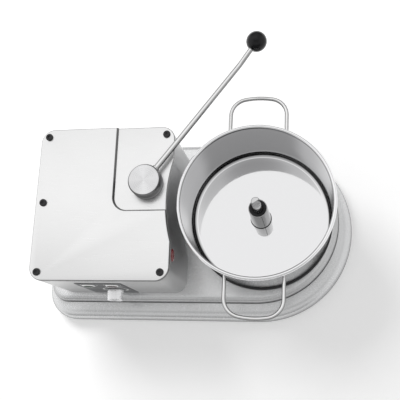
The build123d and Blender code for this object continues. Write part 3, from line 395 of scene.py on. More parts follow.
def shade_along(material, value, bands):
    """Multiplies the base colour by a tone that changes with a value."""
    tones = tones_along(material, value, bands)
    bsdf = material.node_tree.nodes["Principled BSDF"]
    colour = bsdf.inputs["Base Color"].links[0].from_socket
    set_surface(material, {"Base Color": mix_colours(material, colour, tones, 1.0, "MULTIPLY")})


def shade_by_height(material, bands):
    """Tone by height above the table; bands are (mm, tone)."""
    shade_along(material, split(material, coordinates(material))["Z"], in_metres(bands))


def shade_by_slope(material, bands):
    """Painted shade by slope, from 0 on an upright face to 1 on a level one: steep sides are
    painted darker, standing in for shade and darker reflections.
    """
    lie = add(material, "ShaderNodeNewGeometry").outputs["Normal"]
    shade_along(material, split(material, lie)["Z"], bands)


def shade_by_turn(material, centre, bands):
    """Painted highlight and shade by the angle about an upright axis: lighter and darker sectors
    stand in for the fan of reflections a turned face shows; bands are (angle, tone).
    """
    where = split(material, coordinates(material, centre=centre))
    shade_along(material, calculate(material, "ARCTAN2", where["Y"], where["X"]), bands)


def turned_metal(name, tone, roughness, centre, axis, pitch=1400.0, depth=0.12):
    """Lathe-turned metal: fine rings about an axis (0 = x, 1 = y, 2 = z)."""
    colour = (tone, tone, tone * 1.01)
    material = shader(name, colour, 1.0, roughness)
    flat = [1, 1, 1]
    flat[axis] = 0
    radius = distance(material, coordinates(material, flat, centre))
    along = add(material, "ShaderNodeVectorMath", {
        "operation": "DOT_PRODUCT", "Vector": coordinates(material),
        1: [0.8 * (1 - f) for f in flat]})
    total = calculate(material, "ADD", radius, along.outputs["Value"])
    rings = noise(material, total, pitch, 2.0, "1D")
    tint(material, rings, colour, 0.90, 1.06)
    bump(material, rings, depth, 0.0003)
    lay = add(material, "ShaderNodeTangent", {"direction_type": "RADIAL", "axis": "XYZ"[axis]})
    set_surface(material, {"Roughness": spread(material, rings, roughness - 0.06,
                                               roughness + 0.08),
                           "Anisotropic": 0.8, "Tangent": lay.outputs["Tangent"]})
    return material


def spun_bowl_steel(name):
    """Mirror floor and greyer spun wall, with painted shade and highlights by height: a dark
    corner, a dark line under the hem and a light hem, all round the bowl's axis.
    """
    material = shader(name, (0.7, 0.7, 0.7), 1.0, 0.08)
    height = split(material, coordinates(material))["Z"]
    radius = distance(material, coordinates(material, (1, 1, 0), ORIGIN))
    inner, outer = [tones_along(material, height, in_metres(tones), 1.01)
                    for tones in (INNER_PAINTED_SHADING, OUTER_PAINTED_SHADING)]
    side = map_range(material, radius, ((BOWL_RADIUS + 0.4) * MM, (BOWL_RADIUS + 1.0) * MM))
    tones = mix_colours(material, inner, outer, side)
    rings = noise(material, calculate(material, "ADD", radius, height), 1700.0, 3.0, "1D")
    drift = spread(material, rings, 0.0, 1.0)
    gloss = map_range(material, height, ((FLOOR + 3.0) * MM, (FLOOR + 14.0) * MM), (0.045, 0.11))
    set_surface(material, {
        "Base Color": mix_colours(material, tones, grey(0.95), drift, "MULTIPLY"),
        "Roughness": gloss})
    bump(material, rings, 0.02, 0.0002)
    return material


def coating(name, colour, roughness, grain=1500.0, depth=0.05, mottle=0.12, coat=0.0):
    """Plastic, rubber or enamel: fine moulded or sprayed grain with slow tone drift."""
    material = shader(name, colour, 0.0, roughness)
    vector = coordinates(material)
    fine = noise(material, vector, grain, 2.0)
    slow = noise(material, vector, 45.0, 5.0)
    tint(material, slow, colour, 1 - mottle, 1 + mottle)
    set_surface(material, {"Coat Weight": coat, "Coat Roughness": 0.08,
                           "Roughness": spread(material, slow, roughness - 0.05,
                                               roughness + 0.07)})
    bump(material, fine, depth, 0.0003)
    return material


# painted shade and highlights: tone of the bowl's steel at heights above the table, inside and
# outside, standing in for the dark and light reflections of its corner, wall and hem
INNER_PAINTED_SHADING = [(FLOOR - 6.0, 0.84), (FLOOR + 0.6, 0.84), (FLOOR + 2.5, 0.10),
               (FLOOR + 8.0, 0.12), (FLOOR + 13.0, 0.58), (RIM_TOP - 30.0, 0.64),
               (RIM_TOP - 6.0, 0.68), (RIM_TOP - 5.0, 0.04), (RIM_TOP - 3.6, 0.04),
               (RIM_TOP - 3.0, 0.96), (RIM_TOP + 1.0, 0.96)]
# painted shade: the outside is near black at its foot, where the bowl sits on its seat, and dark
# under the hem
OUTER_PAINTED_SHADING = [(FLOOR - 6.0, 0.02), (BOWL_LOW.z + 8.0, 0.02), (BOWL_LOW.z + 9.5, 0.70),
               (RIM_TOP - 7.0, 0.80), (RIM_TOP - 5.0, 0.06),
               (RIM_TOP - 3.6, 0.96), (RIM_TOP + 1.0, 0.96)]

hub_centre = ORIGIN + Vector((HUB[0], HUB[1], 0)) * MM
knob_centre = sum(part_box("speed_knob"), Vector()) / 2

CAST = metal("blasted_cast_aluminium", 0.90, 0.25, grain=1100, depth=0.008, mottle=0.015,
             warmth=-0.006)
set_surface(CAST, {"Metallic": 0.55})
HOUSING = metal("satin_housing_aluminium", 0.57, 0.36, grain=700, stretch=(1, 1, 0.15),
                depth=0.05, mottle=0.035)
COVER = metal("brushed_cover_aluminium", 0.93, 0.30, grain=900, stretch=(0.03, 1, 1),
              depth=0.006, mottle=0.015, gloss_spread=0.03, soil=5.0)
# painted shade: steep faces of the casting are painted darker than its level ones
shade_by_slope(CAST, [(0.0, 0.72), (0.30, 0.74), (0.60, 0.94), (0.90, 1.0), (1.0, 0.98)])
BOWL = spun_bowl_steel("spun_bowl_steel")
TUBE_STEEL = metal("polished_tube_steel", 0.46, 0.12, grain=600, stretch=(1, 1, 0.03),
                   depth=0.03, mottle=0.10, gloss_spread=0.03, soil=200.0)
STEEL = metal("polished_bar_steel", 0.88, 0.08, grain=900, depth=0.008, mottle=0.03,
              gloss_spread=0.02)
# painted shade: the sides and undersides of the polished bars are painted darker than their tops
shade_by_slope(STEEL, [(0.0, 0.42), (0.60, 0.28), (0.82, 0.55), (0.94, 1.0), (1.0, 1.0)])
HUB_STEEL = turned_metal("turned_hub_steel", 0.90, 0.30, hub_centre, 2, pitch=700.0, depth=0.01)
# painted highlight and shade: lighter and darker sectors round the hub stand in for the fan of
# reflections on its turned top
shade_by_turn(HUB_STEEL, hub_centre, [
    (-pi, 0.98), (-2.4, 0.86), (-1.5, 0.97), (-0.7, 0.90), (0.2, 1.0), (0.9, 0.88),
    (1.7, 0.96), (2.5, 0.90), (pi, 0.98)])
# painted shade: the hub's sides and the chamfer of its top edge are painted darker than its top
shade_by_slope(HUB_STEEL, [(0.0, 0.42), (0.80, 0.30), (0.97, 0.55), (1.0, 1.0)])
# dark specular tint dims reflections towards a grazing view, so edges come out darker as if in
# shade
for grazing_dimmed in (CAST, STEEL, HUB_STEEL):  # darker towards a grazing view
    set_surface(grazing_dimmed, {"Specular Tint": grey(0.3)})
SPINDLE_STEEL = turned_metal("turned_spindle_steel", 0.68, 0.18, ORIGIN, 2)
KNOB_METAL = turned_metal("turned_knob_aluminium", 0.90, 0.26, knob_centre, 1, depth=0.03)
BEZEL_METAL = metal("satin_bezel_chrome", 0.72, 0.16, grain=1200, depth=0.03)
WELD = metal("darkened_weld", 0.10, 0.45, grain=700, depth=0.15, mottle=0.2)
PLAIN_STEEL = metal("plain_steel", 0.42, 0.34, grain=800, depth=0.06, mottle=0.12)
ZINC = metal("zinc_plated_steel", 0.56, 0.30, grain=1000, depth=0.04, warmth=0.02, mottle=0.08)
BRONZE = metal("sintered_bronze", 0.42, 0.42, grain=1600, depth=0.15, warmth=0.32, mottle=0.10)
MAGNET = metal("magnet_ferrite", 0.16, 0.5, grain=1600, depth=0.1, mottle=0.1)
RUBBER = coating("black_rubber", (0.009, 0.009, 0.010), 0.62, grain=1300, depth=0.12)
BLACK_GLOSS = coating("black_ball_plastic", (0.005, 0.005, 0.006), 0.14, grain=700, depth=0.01)
set_surface(BLACK_GLOSS, {"Specular IOR Level": 0.3})
BLACK_CAP = coating("black_cap_plastic", (0.010, 0.010, 0.011), 0.34, grain=1400, depth=0.04)
BLACK_MATTE = coating("black_moulded_plastic", (0.022, 0.022, 0.024), 0.55, depth=0.12)
PANEL = coating("panel_enamel", (0.090, 0.093, 0.098), 0.42, grain=900, depth=0.05, mottle=0.06)
PRINT = coating("panel_print", (0.80, 0.80, 0.79), 0.5, grain=1200, depth=0.03, mottle=0.08)
GREEN = coating("start_button_plastic", (0.012, 0.040, 0.020), 0.25, coat=0.4)
RED = coating("stop_button_plastic", (0.045, 0.012, 0.012), 0.25, coat=0.4)
LENS = coating("lamp_lens_plastic", (0.30, 0.030, 0.035), 0.14, grain=500, depth=0.05, coat=0.6)
WHITE_PLASTIC = coating("white_moulded_plastic", (0.62, 0.62, 0.60), 0.45)
MOTOR_PAINT = coating("motor_enamel", (0.035, 0.055, 0.085), 0.36, grain=600, depth=0.08)

SLOT_MATERIALS = {
    "cast_aluminium": CAST, "housing_aluminium": HOUSING, "cover_aluminium": COVER,
    "polished_steel": STEEL, "turned_steel": HUB_STEEL, "plain_steel": PLAIN_STEEL,
    "zinc_plate": ZINC, "black_plastic": BLACK_GLOSS, "black_matte": BLACK_MATTE,
    "black_rubber": RUBBER, "panel_grey": PANEL, "button_green": GREEN, "button_red": RED,
    "lens_red": LENS, "knob_silver": KNOB_METAL, "motor_paint": MOTOR_PAINT,
    "bronze": BRONZE, "magnet": MAGNET, "white_plastic": WHITE_PLASTIC,
}
for entry in frame["record"]["subparts"]:
    node_mesh = frame["nodes"][entry["node"]].data
    node_mesh.materials.clear()
    node_mesh.materials.append(SLOT_MATERIALS[entry["material_slot"]])

# ---- bowl
bm = bmesh.new()
wall = BOWL_RADIUS + BOWL_SHEET
bead_height = RIM_TOP - BEAD_RADIUS
bead_middle = BOWL_RADIUS + BEAD_RADIUS
profile = [(TUBE_FOOT_RADIUS, BOWL_LOW.z)]
profile += arc((wall - BOWL_CORNER - BOWL_SHEET, BOWL_LOW.z + BOWL_CORNER + BOWL_SHEET),
               BOWL_CORNER + BOWL_SHEET, 270, 90, 10)
profile += [(wall, bead_height - BEAD_RADIUS - 1.0)]
profile += arc((bead_middle, bead_height), BEAD_RADIUS, 238, 302, 16)
profile += [(BOWL_RADIUS, bead_height - 1.0)]
profile += [(BOWL_RADIUS, FLOOR + 0.5 * (RIM_TOP - FLOOR))]
profile += arc((BOWL_RADIUS - BOWL_CORNER, FLOOR + BOWL_CORNER), BOWL_CORNER, 0, -90, 10)
profile += [(TUBE_FOOT_RADIUS, FLOOR)]
lathe(bm, profile, place(), 192, closed=True)
finish_piece("bowl_spun_shell", bm, "bowl", BOWL, ["bowl"])

bm = bmesh.new()
profile = round_corners([
    (TUBE_FOOT_RADIUS - 3.0, BOWL_LOW.z),
    (TUBE_FOOT_RADIUS, BOWL_LOW.z),
    (TUBE_FOOT_RADIUS, FLOOR + 0.6, 0.5),
    (TUBE_TOP_RADIUS, TUBE_TOP - 0.3, 0.6),
    (TUBE_TOP_RADIUS - TUBE_WALL, TUBE_TOP, 0.4),
    (TUBE_TOP_RADIUS - TUBE_WALL, TUBE_TOP - TUBE_COLLAR_DEPTH),
])
lathe(bm, profile, place(), 96, closed=True)
finish_piece("bowl_centre_tube", bm, "bowl", TUBE_STEEL, ["bowl_tube"])

# dark weld seam down the tube, a little over half sunk in it
SEAM_TURN = radians(-66.0)
SEAM_RADIUS = 0.55
bm = bmesh.new()
ends = [ORIGIN + Vector(((radius - 0.15) * cos(SEAM_TURN), (radius - 0.15) * sin(SEAM_TURN),
                         height)) * MM
        for height, radius in ((FLOOR + 1.4, TUBE_FOOT_RADIUS), (TUBE_TOP - 1.2, TUBE_TOP_RADIUS))]
tube(bm, [ends[0].lerp(ends[1], i / 8) for i in range(9)], SEAM_RADIUS * MM, 12)
finish_piece("tube_seam", bm, "bowl", WELD)

# dark weld joint round the tube's foot
bm = bmesh.new()
lathe(bm, round_corners([
    (TUBE_FOOT_RADIUS - 0.6, FLOOR - 0.4), (TUBE_FOOT_RADIUS + 1.1, FLOOR - 0.4),
    (TUBE_FOOT_RADIUS + 1.1, FLOOR + 0.45, 0.3), (TUBE_FOOT_RADIUS - 0.6, FLOOR + 1.3, 0.3),
    (TUBE_FOOT_RADIUS - 0.6, FLOOR),
]), place(), 96, closed=True)
finish_piece("tube_foot_weld", bm, "bowl", WELD)

bm = bmesh.new()
bore = SPINDLE_RADIUS + 0.3
lathe(bm, round_corners([
    (bore + 1.2, TUBE_TOP - 5.5),
    (TUBE_TOP_RADIUS - TUBE_WALL, TUBE_TOP - 5.5),
    (TUBE_TOP_RADIUS - TUBE_WALL, TUBE_TOP + 0.1, 0.3),
    (TUBE_TOP_RADIUS - TUBE_WALL - 1.0, TUBE_TOP + 0.8, 0.5),
    (bore + 2.6, TUBE_TOP + 0.2, 0.6),
    (bore, TUBE_TOP - 1.2, 0.5),
    (bore, TUBE_TOP - 3.0),
]), place(), 96, closed=True)
finish_piece("tube_collar_seal", bm, "bowl", RUBBER, ["tube_collar"])


HANDLE_FLARE = ((-0.2, 2.3), (1.2, 1.4), (3.0, 0.1))  # weld's (distance out, extra radius)
WALL_SKIN = 0.7  # what stays of the wall behind a weld


def handle_path(turn):
    """Centre line of a handle, from one weld on the wall to the other."""
    half = HANDLE_SPAN / 2
    start = sqrt(wall**2 - half**2) - 1.5
    bow_middle = HANDLE_BOW - HANDLE_REACH
    corner_side = half - HANDLE_CORNER
    corner_reach = sqrt((HANDLE_BOW - HANDLE_CORNER) ** 2 - corner_side**2)
    leg_end = bow_middle - corner_reach
    bend = degrees(atan2(corner_reach, corner_side))
    loop = [(-half, -start), (-half, (leg_end - start) / 2)]
    loop += arc((-corner_side, leg_end), HANDLE_CORNER, 180, bend, 14)
    loop += arc((0, bow_middle), HANDLE_BOW, 180 + bend, 180 - 2 * bend, 12)[1:-1]
    loop += arc((corner_side, leg_end), HANDLE_CORNER, -bend, bend, 14)
    loop += [(half, (leg_end - start) / 2), (half, -start)]
    matrix = place(0, 0, HANDLE_HEIGHT, turn=HANDLE_TURN + turn)
    return [matrix @ Vector((x, y, 0)) for x, y in loop]


for side_name, turn in (("front", 0.0), ("back", pi)):
    bm = bmesh.new()
    path = handle_path(turn)
    tube(bm, path, HANDLE_ROD * MM, 28)
    for end in (path[0], path[-1]):
        outward = Vector((end.x - ORIGIN.x, end.y - ORIGIN.y, 0)).normalized()
        tube(bm, [end + outward * (out * MM) for out, _ in HANDLE_FLARE],
             [(HANDLE_ROD + flare) * MM for _, flare in HANDLE_FLARE], 28)
    for vertex in bm.verts:  # nothing pokes through to the inside of the wall
        away = Vector((vertex.co.x - ORIGIN.x, vertex.co.y - ORIGIN.y, 0))
        short = (BOWL_RADIUS + WALL_SKIN) * MM - away.length
        if short > 0:
            vertex.co += away.normalized() * short
    finish_piece(side_name + "_wire_handle", bm, "bowl", STEEL,
                 [side_name + "_handle"])

SEAT_INNER, SEAT_OUTER = 129.0, SEAT_HIGH.x
bm = bmesh.new()
lathe(bm, round_corners([
    (SEAT_INNER, PLATEAU_TOP),
    (SEAT_OUTER, PLATEAU_TOP),
    (SEAT_OUTER, SEAT_TOP - 2.4, 0.8),
    (SEAT_OUTER - 2.0, SEAT_TOP, 0.8),
    (SEAT_INNER, SEAT_TOP, 0.5),
    (SEAT_INNER, PLATEAU_TOP + 1.0),
]), place(), 160, closed=True)
finish_piece("bowl_seat_moulding", bm, "machine", RUBBER, ["bowl_seat_ring"])

# ---- base
BASE_LOW, BASE_HIGH = span("base_casting")
SKIRT_MIDDLE = middle("base_casting")[1]
SKIRT_DEPTH = BASE_HIGH.y - BASE_LOW.y
SKIRT_CORNER = 62.0
SKIRT_TOP = BASE_LOW.z + 30.0
SKIRT_FILLET = 21.0
LEFT_LEDGE, RIGHT_LEDGE = 13.0, 27.5
PLATEAU_DEPTH = 341.0
PLATEAU_CORNER = 36.0
PLATEAU_FILLET = 12.0


def d_outline(left, right, depth, corner, middle=0.0):
    """Function of the inset: rounded left corners and a half-round right end."""
    def points(inset):
        half = depth / 2 - inset
        low, high = left + inset, right - inset
        round_left = corner - inset
        out = arc((high - half, middle), half, -90, 180, 72)
        out += arc((low + round_left, middle + half - round_left), round_left, 90, 90, 16)
        out += arc((low + round_left, middle - half + round_left), round_left, 180, 90, 16)
        return out
    return points


def edge_round(height, radius, steps=8):
    """(inset, height) points of a rounded upper edge."""
    return [(radius - x, height - radius + y)
            for x, y in arc((0, 0), radius, 0, 90, steps)]


skirt = d_outline(BASE_LOW.x, BASE_HIGH.x, SKIRT_DEPTH, SKIRT_CORNER, SKIRT_MIDDLE)
plateau = d_outline(BASE_LOW.x + LEFT_LEDGE, BASE_HIGH.x - RIGHT_LEDGE, PLATEAU_DEPTH,
                    PLATEAU_CORNER)
bm = bmesh.new()
stack(bm, skirt, [(8.0, BASE_LOW.z + 1.0), (8.0, BASE_LOW.z), (1.2, BASE_LOW.z),
                  (0.0, BASE_LOW.z + 1.2)] + edge_round(SKIRT_TOP, SKIRT_FILLET, 10)
      + [(SKIRT_FILLET + 22.0, SKIRT_TOP)], place())
upper = bmesh.new()
stack(upper, plateau, [(9.0, SKIRT_TOP - 12.0), (0.0, SKIRT_TOP - 12.0), (0.0, SKIRT_TOP - 3.0)]
      + edge_round(PLATEAU_TOP, PLATEAU_FILLET, 10)
      + [(PLATEAU_FILLET + 6.0, PLATEAU_TOP)], place())
bm = join_meshes(bm, upper, "UNION")
finish_piece("base_body", bm, "machine", CAST, ["base_casting"], sharp=40)
# painted shade: the plateau's rounded edge is painted darker than its top and the skirt's
shade_by_height(CAST, [
    (SKIRT_TOP - 30.0, 1.0), (SKIRT_TOP - 0.2, 1.0), (SKIRT_TOP + 0.4, 0.74),
    (PLATEAU_TOP - 1.2, 0.78), (PLATEAU_TOP - 0.1, 1.0), (PLATEAU_TOP + 1.0, 1.0),
])

# dark rubber strip round the plateau's foot, where the plateau meets the skirt
bm = bmesh.new()
stack(bm, plateau, [(1.0, SKIRT_TOP - 2.0), (-0.8, SKIRT_TOP - 2.0), (-0.8, SKIRT_TOP + 0.6),
                    (-0.4, SKIRT_TOP + 1.0), (1.0, SKIRT_TOP + 1.3)], place(), closed=True)
finish_piece("plateau_foot_dark_strip", bm, "machine", RUBBER)

# feet: turned rubber with a chamfered tread
FEET = [(x, y) for x in (-405.0, 60.0) for y in (-150.0, 125.0)]
bm = bmesh.new()
for x, y in FEET:
    lathe(bm, round_corners([
        (3.2, 9.0), (6.5, 9.0, 0.4), (6.5, 0.0, 0.8), (15.0, 0.0, 1.2), (16.4, 4.5, 1.0),
        (18.4, 5.5, 0.8), (19.0, 7.0, 0.6), (19.0, 18.0), (3.2, 18.0),
    ]), place(x, y), 64, closed=True)
finish_piece("moulded_feet", bm, "machine", RUBBER, ["rubber_feet"])

# ---- housing and cover
HOUSING_CORNER = 26.0
SCOOP_DEPTH = 11.5
SCOOP_CHORD = 80.0
SCOOP_RADIUS = SCOOP_CHORD**2 / (2 * SCOOP_DEPTH) + SCOOP_DEPTH / 2
SCOOP_X = HOUSING_HIGH.x - SCOOP_DEPTH + SCOOP_RADIUS


def housing_front(inset):
    """Both front corners of the housing, and what the rest of its outline needs."""
    left, right = HOUSING_LOW.x + inset, HOUSING_HIGH.x - inset
    front, back = HOUSING_LOW.y + inset, HOUSING_HIGH.y - inset
    corner = HOUSING_CORNER - inset
    scoop = SCOOP_RADIUS + inset
    chord = sqrt(scoop**2 - (SCOOP_X - right) ** 2)
    swing = asin(chord / scoop) * 180 / pi
    out = arc((left + corner, front + corner), corner, 180, 90, 12)
    out += arc((right - corner, front + corner), corner, 270, 90, 12)
    return out, arc((left + corner, back - corner), corner, 90, 90, 12), right, back, scoop, swing


def housing_outline(inset):
    """Rounded rectangle with its right side scooped towards the bowl."""
    out, back_left, right, back, scoop, swing = housing_front(inset)
    corner = HOUSING_CORNER - inset
    out += arc((SCOOP_X, 0), scoop, 180 + swing, -2 * swing, 24)
    out += arc((right - corner, back - corner), corner, 0, 90, 12)
    return out + back_left


WALL = 5.0
FLANGE = 15.0
housing_top = HOUSING_HIGH.z
bm = bmesh.new()
stack(bm, housing_outline, [
    (WALL + FLANGE, PLATEAU_TOP), (0.4, PLATEAU_TOP), (0.0, PLATEAU_TOP + 0.4),
    (0.0, housing_top - 0.8), (0.7, housing_top), (WALL, housing_top),
    (WALL, PLATEAU_TOP + WALL), (WALL + FLANGE, PLATEAU_TOP + WALL),
], place(), closed=True)
holes = bmesh.new()
vent_middle = PLATEAU_TOP + (housing_top - PLATEAU_TOP) / 2 + 5.0
VENT_LENGTH, VENT_HEIGHT, VENT_PITCH, VENT_COUNT = 90.0, 5.0, 11.0, 7
for i in range(VENT_COUNT):
    height = vent_middle + (i - (VENT_COUNT - 1) / 2) * VENT_PITCH
    half, end = VENT_LENGTH / 2 - VENT_HEIGHT / 2, VENT_HEIGHT / 2
    slot_outline = arc((half, 0), end, -90, 180, 10) + arc((-half, 0), end, 90, 180, 10)
    loft(holes, [[(x, y, depth) for x, y in slot_outline] for depth in (-12.0, 2.0)],
         place(middle("housing_shell")[0], HOUSING_HIGH.y, height, "back"))
BUTTON_LOW, BUTTON_HIGH = span("start_button")
BUTTON_RADIUS = (BUTTON_HIGH.x - BUTTON_LOW.x) / 2
BUTTONS = [middle(n)[::2] for n in ("start_button", "stop_button")]
KNOB_LOW, KNOB_HIGH = span("speed_knob")
KNOB = middle("speed_knob")[::2]
LAMP_LOW, LAMP_HIGH = span("pilot_lens")
LAMP = middle("pilot_lens")[1:]
GLAND = middle("cable_gland")[::2]
KNOB_HOLE, LAMP_HOLE, GLAND_HOLE = 6.0, 8.0, 8.0
WALL_DRILL, PANEL_DRILL = (-12.0, 3.0), (-9.0, 3.0)
for radius, steps, matrix in (
        *((BUTTON_RADIUS + 1.8, 40, place(x, HOUSING_LOW.y, z, "front")) for x, z in BUTTONS),
        (KNOB_HOLE, 32, place(KNOB[0], HOUSING_LOW.y, KNOB[1], "front")),
        (LAMP_HOLE, 32, place(HOUSING_HIGH.x, LAMP[0], LAMP[1], "right")),
        (GLAND_HOLE, 32, place(GLAND[0], HOUSING_HIGH.y, GLAND[1], "back"))):
    lathe(holes, [(radius, depth) for depth in WALL_DRILL], matrix, steps)
bm = join_meshes(bm, holes, "DIFFERENCE")
finish_piece("housing_walls", bm, "machine", HOUSING, ["housing_shell"])

RECESS_DEPTH = 5.5
RECESS_WIDTH = 113.0
RECESS_LEFT = HOUSING_HIGH.x - RECESS_WIDTH
RECESS_FRONT = -18.0
RECESS_CORNER = 25.0
RECESS_SLOPE = 3.0
recess_top = COVER_TOP - RECESS_DEPTH
EDGE = 1.8
# painted shade: the plate's upright edges and the wall of its step are painted darker than its two
# flat levels
shade_by_height(COVER, [
    (housing_top - 0.5, 0.45), (recess_top - EDGE, 0.30), (recess_top - 0.20, 0.30),
    (recess_top - 0.05, 1.0), (recess_top + 0.10, 1.0), (recess_top + 0.5, 0.22),
    (COVER_TOP - EDGE, 0.16), (COVER_TOP - 0.20, 0.30), (COVER_TOP - 0.05, 1.0),
    (COVER_TOP + 1.0, 1.0),
])


def raised_outline(inset, slope=0.0):
    """The cover's raised L: the housing's outline without its lower back right corner."""
    out, back_left, _, back, scoop, swing = housing_front(inset)
    step_x, step_y = RECESS_LEFT - slope, RECESS_FRONT - slope
    first = 180 + swing
    last = 180 + asin(-step_y / scoop) * 180 / pi
    out += arc((SCOOP_X, 0), scoop, first, last - first, 16)
    inner = RECESS_CORNER + slope
    out += arc((step_x + inner, step_y + inner), inner, 270, -90, 14)
    return out + [(step_x, back)] + back_left


bm = bmesh.new()
stack(bm, housing_outline, [(0.7, housing_top + 0.05), (0.0, housing_top + 0.8),
                            (0.0, recess_top - EDGE)]
      + edge_round(recess_top, EDGE, 4), place())
upper = bmesh.new()
levels = [(0.0, 0.0, recess_top - 2.5), (0.0, 0.0, recess_top + 0.4)]
levels += [(inset, RECESS_SLOPE * 0.75 + inset * 0.8, height)
           for inset, height in edge_round(COVER_TOP, EDGE, 4)]
loft(upper, [[(x, y, h) for x, y in raised_outline(inset, slope)]
             for inset, slope, h in levels], place())
bm = join_meshes(bm, upper, "UNION")
HUB_BORE = 11.0
BOSS_RADIUS = 17.0
bore = bmesh.new()
lathe(bore, [(HUB_BORE, housing_top - 5.0), (HUB_BORE, COVER_TOP + 5.0)], place(*HUB), 48)
bm = join_meshes(bm, bore, "DIFFERENCE")
boss = bmesh.new()
lathe(boss, [(radius, housing_top + rise) for radius, rise in (
    (HUB_BORE + 0.02, 1.0), (BOSS_RADIUS, 1.0), (BOSS_RADIUS, -24.0), (HUB_BORE + 0.02, -24.0))],
      place(*HUB), 48, closed=True)
bm = join_meshes(bm, boss, "UNION")
finish_piece("top_plate", bm, "machine", COVER, ["top_cover"], sharp=28)

# black screw heads with a hexagon socket
INSET = 16.0
CAP_RADIUS = 7.2
CAP_HEIGHT = 3.2
CAPS = [
    (HOUSING_LOW.x + INSET, HOUSING_LOW.y + INSET, COVER_TOP),
    (HOUSING_LOW.x + INSET, middle("housing_shell")[1], COVER_TOP),
    (HOUSING_LOW.x + INSET, HOUSING_HIGH.y - INSET, COVER_TOP),
    (HOUSING_HIGH.x - INSET, HOUSING_LOW.y + INSET, COVER_TOP),
    (HOUSING_HIGH.x - INSET, HOUSING_HIGH.y - INSET, recess_top),
]
head = round_corners([(2.5, -20.0), (2.5, 0.0), (CAP_RADIUS, 0.0, 0.3),
                      (CAP_RADIUS, CAP_HEIGHT, 1.6), (3.4, CAP_HEIGHT, 0.3),
                      (2.9, CAP_HEIGHT - 0.3), (2.9, CAP_HEIGHT - 2.0), (0.3, CAP_HEIGHT - 2.3)])
bm = bmesh.new()
for x, y, z in CAPS:
    lathe(bm, head, place(x, y, z), 48)
finish_piece("cover_screw_heads", bm, "machine", BLACK_CAP, ["cover_screws"])

# ---- lever
hub_bottom = HUB_LOW.z
hub_top = HUB_HIGH.z
HUB_TOP_RADIUS = HUB_RADIUS - 1.6
bm = bmesh.new()
lathe(bm, round_corners([
    (8.0, hub_bottom), (HUB_RADIUS - 0.6, hub_bottom, 0.3),
    (HUB_RADIUS, hub_bottom + 0.8, 0.4), (HUB_RADIUS, hub_bottom + 6.0, 0.4),
    (HUB_RADIUS - 1.6, hub_bottom + 7.0, 0.5), (HUB_RADIUS - 1.6, hub_bottom + 9.0, 0.5),
    (HUB_RADIUS, hub_bottom + 10.0, 0.4), (HUB_RADIUS, hub_top - 4.0, 0.6),
    (HUB_TOP_RADIUS, hub_top - 0.9, 0.5),
    (HUB_TOP_RADIUS - 0.9, hub_top, 0.4),
    (0.2, hub_top),
]), place(*HUB), 128)
finish_piece("turned_lever_hub", bm, "lever", HUB_STEEL, ["lever_hub"])


def lever_point(along, height):
    """A point of the lever's upright plane, in the frame."""
    x = HUB[0] + along * cos(LEVER_TURN)
    y = HUB[1] + along * sin(LEVER_TURN)
    return ORIGIN + Vector((x, y, height)) * MM


bend_at = LEVER_LENGTH - ROD_BEND
tip = LEVER_LENGTH - BALL_RADIUS + 8.0
tip_height = ROD_HEIGHT + ROD_RISE * (tip - bend_at) / ROD_BEND
straight_end = bend_at - 40.0
line = round_corners([(ROD_START, ROD_HEIGHT), (straight_end, ROD_HEIGHT),
                      (bend_at, ROD_HEIGHT, BEND_RADIUS), (tip, tip_height)], 12)
straight = [(ROD_START + (straight_end - ROD_START) * i / 6, ROD_HEIGHT) for i in range(1, 7)]
line = [line[0]] + straight + line[2:]
radii = [(ROD_RADIUS - ROD_TAPER * max(0.0, (d - ROD_START) / (tip - ROD_START))) * MM
         for d, _ in line]
bm = bmesh.new()
tube(bm, [lever_point(d, h) for d, h in line], radii, 32)
# turned collar where the rod enters the hub
tube(bm, [lever_point(HUB_RADIUS + d, ROD_HEIGHT) for d in (-3.0, 1.6, 2.2, 2.4)],
     [(ROD_RADIUS + step) * MM for step in (1.9, 1.9, 1.3, 0.0)], 32)
finish_piece("lever_bar", bm, "lever", STEEL, ["lever_rod"])

ball_centre = lever_point(LEVER_LENGTH, ROD_HEIGHT + ROD_RISE)
toward_rod = (lever_point(bend_at, ROD_HEIGHT) - ball_centre).normalized()
bm = bmesh.new()
flat_angle = asin(BALL_FLAT / BALL_RADIUS) * 180 / pi
flat_height = BALL_RADIUS * cos(radians(flat_angle))
profile = [(5.0, flat_height - 6.0), (5.0, flat_height - 0.4), (BALL_FLAT - 0.5, flat_height)]
profile += [(BALL_RADIUS * sin(radians(a)), BALL_RADIUS * cos(radians(a)))
            for a in [flat_angle + (179.0 - flat_angle) * i / 40 for i in range(41)]]
turn = toward_rod.to_track_quat("Z", "Y").to_matrix().to_4x4()
lathe(bm, profile, Matrix.Translation(ball_centre) @ turn @ Matrix.Scale(MM, 4), 80)
finish_piece("lever_ball_knob", bm, "lever", BLACK_GLOSS, ["lever_ball"])

# ---- spindle end
PULLEY_SEAT, BEARING_SEAT, SHOULDER = 8.0, 10.0, 12.0  # radii up the shaft
BEARING_LOW, BEARING_HIGH = 33.5, 64.5
tongue_low = SPINDLE_TOP - TONGUE_LENGTH
bm = bmesh.new()
shaft_profile = round_corners([
    (0.3, SPINDLE_BOTTOM), (PULLEY_SEAT, SPINDLE_BOTTOM, 0.4), (PULLEY_SEAT, BEARING_LOW),
    (BEARING_SEAT, BEARING_LOW), (BEARING_SEAT, BEARING_HIGH), (SHOULDER, BEARING_HIGH),
    (SHOULDER, BEARING_HIGH + 4.0), (SPINDLE_RADIUS, BEARING_HIGH + 4.0),
    (SPINDLE_RADIUS, TUBE_TOP + 2.5, 0.2),
    (KNIFE_SEAT_RADIUS, TUBE_TOP + 2.7, 0.1), (KNIFE_SEAT_RADIUS, tongue_low - 0.3, 0.1),
    (TONGUE_RADIUS, tongue_low, 0.1), (TONGUE_RADIUS, SPINDLE_TOP - 0.9, 0.4),
    (TONGUE_RADIUS - 0.9, SPINDLE_TOP, 0.3), (0.3, SPINDLE_TOP),
], 3)
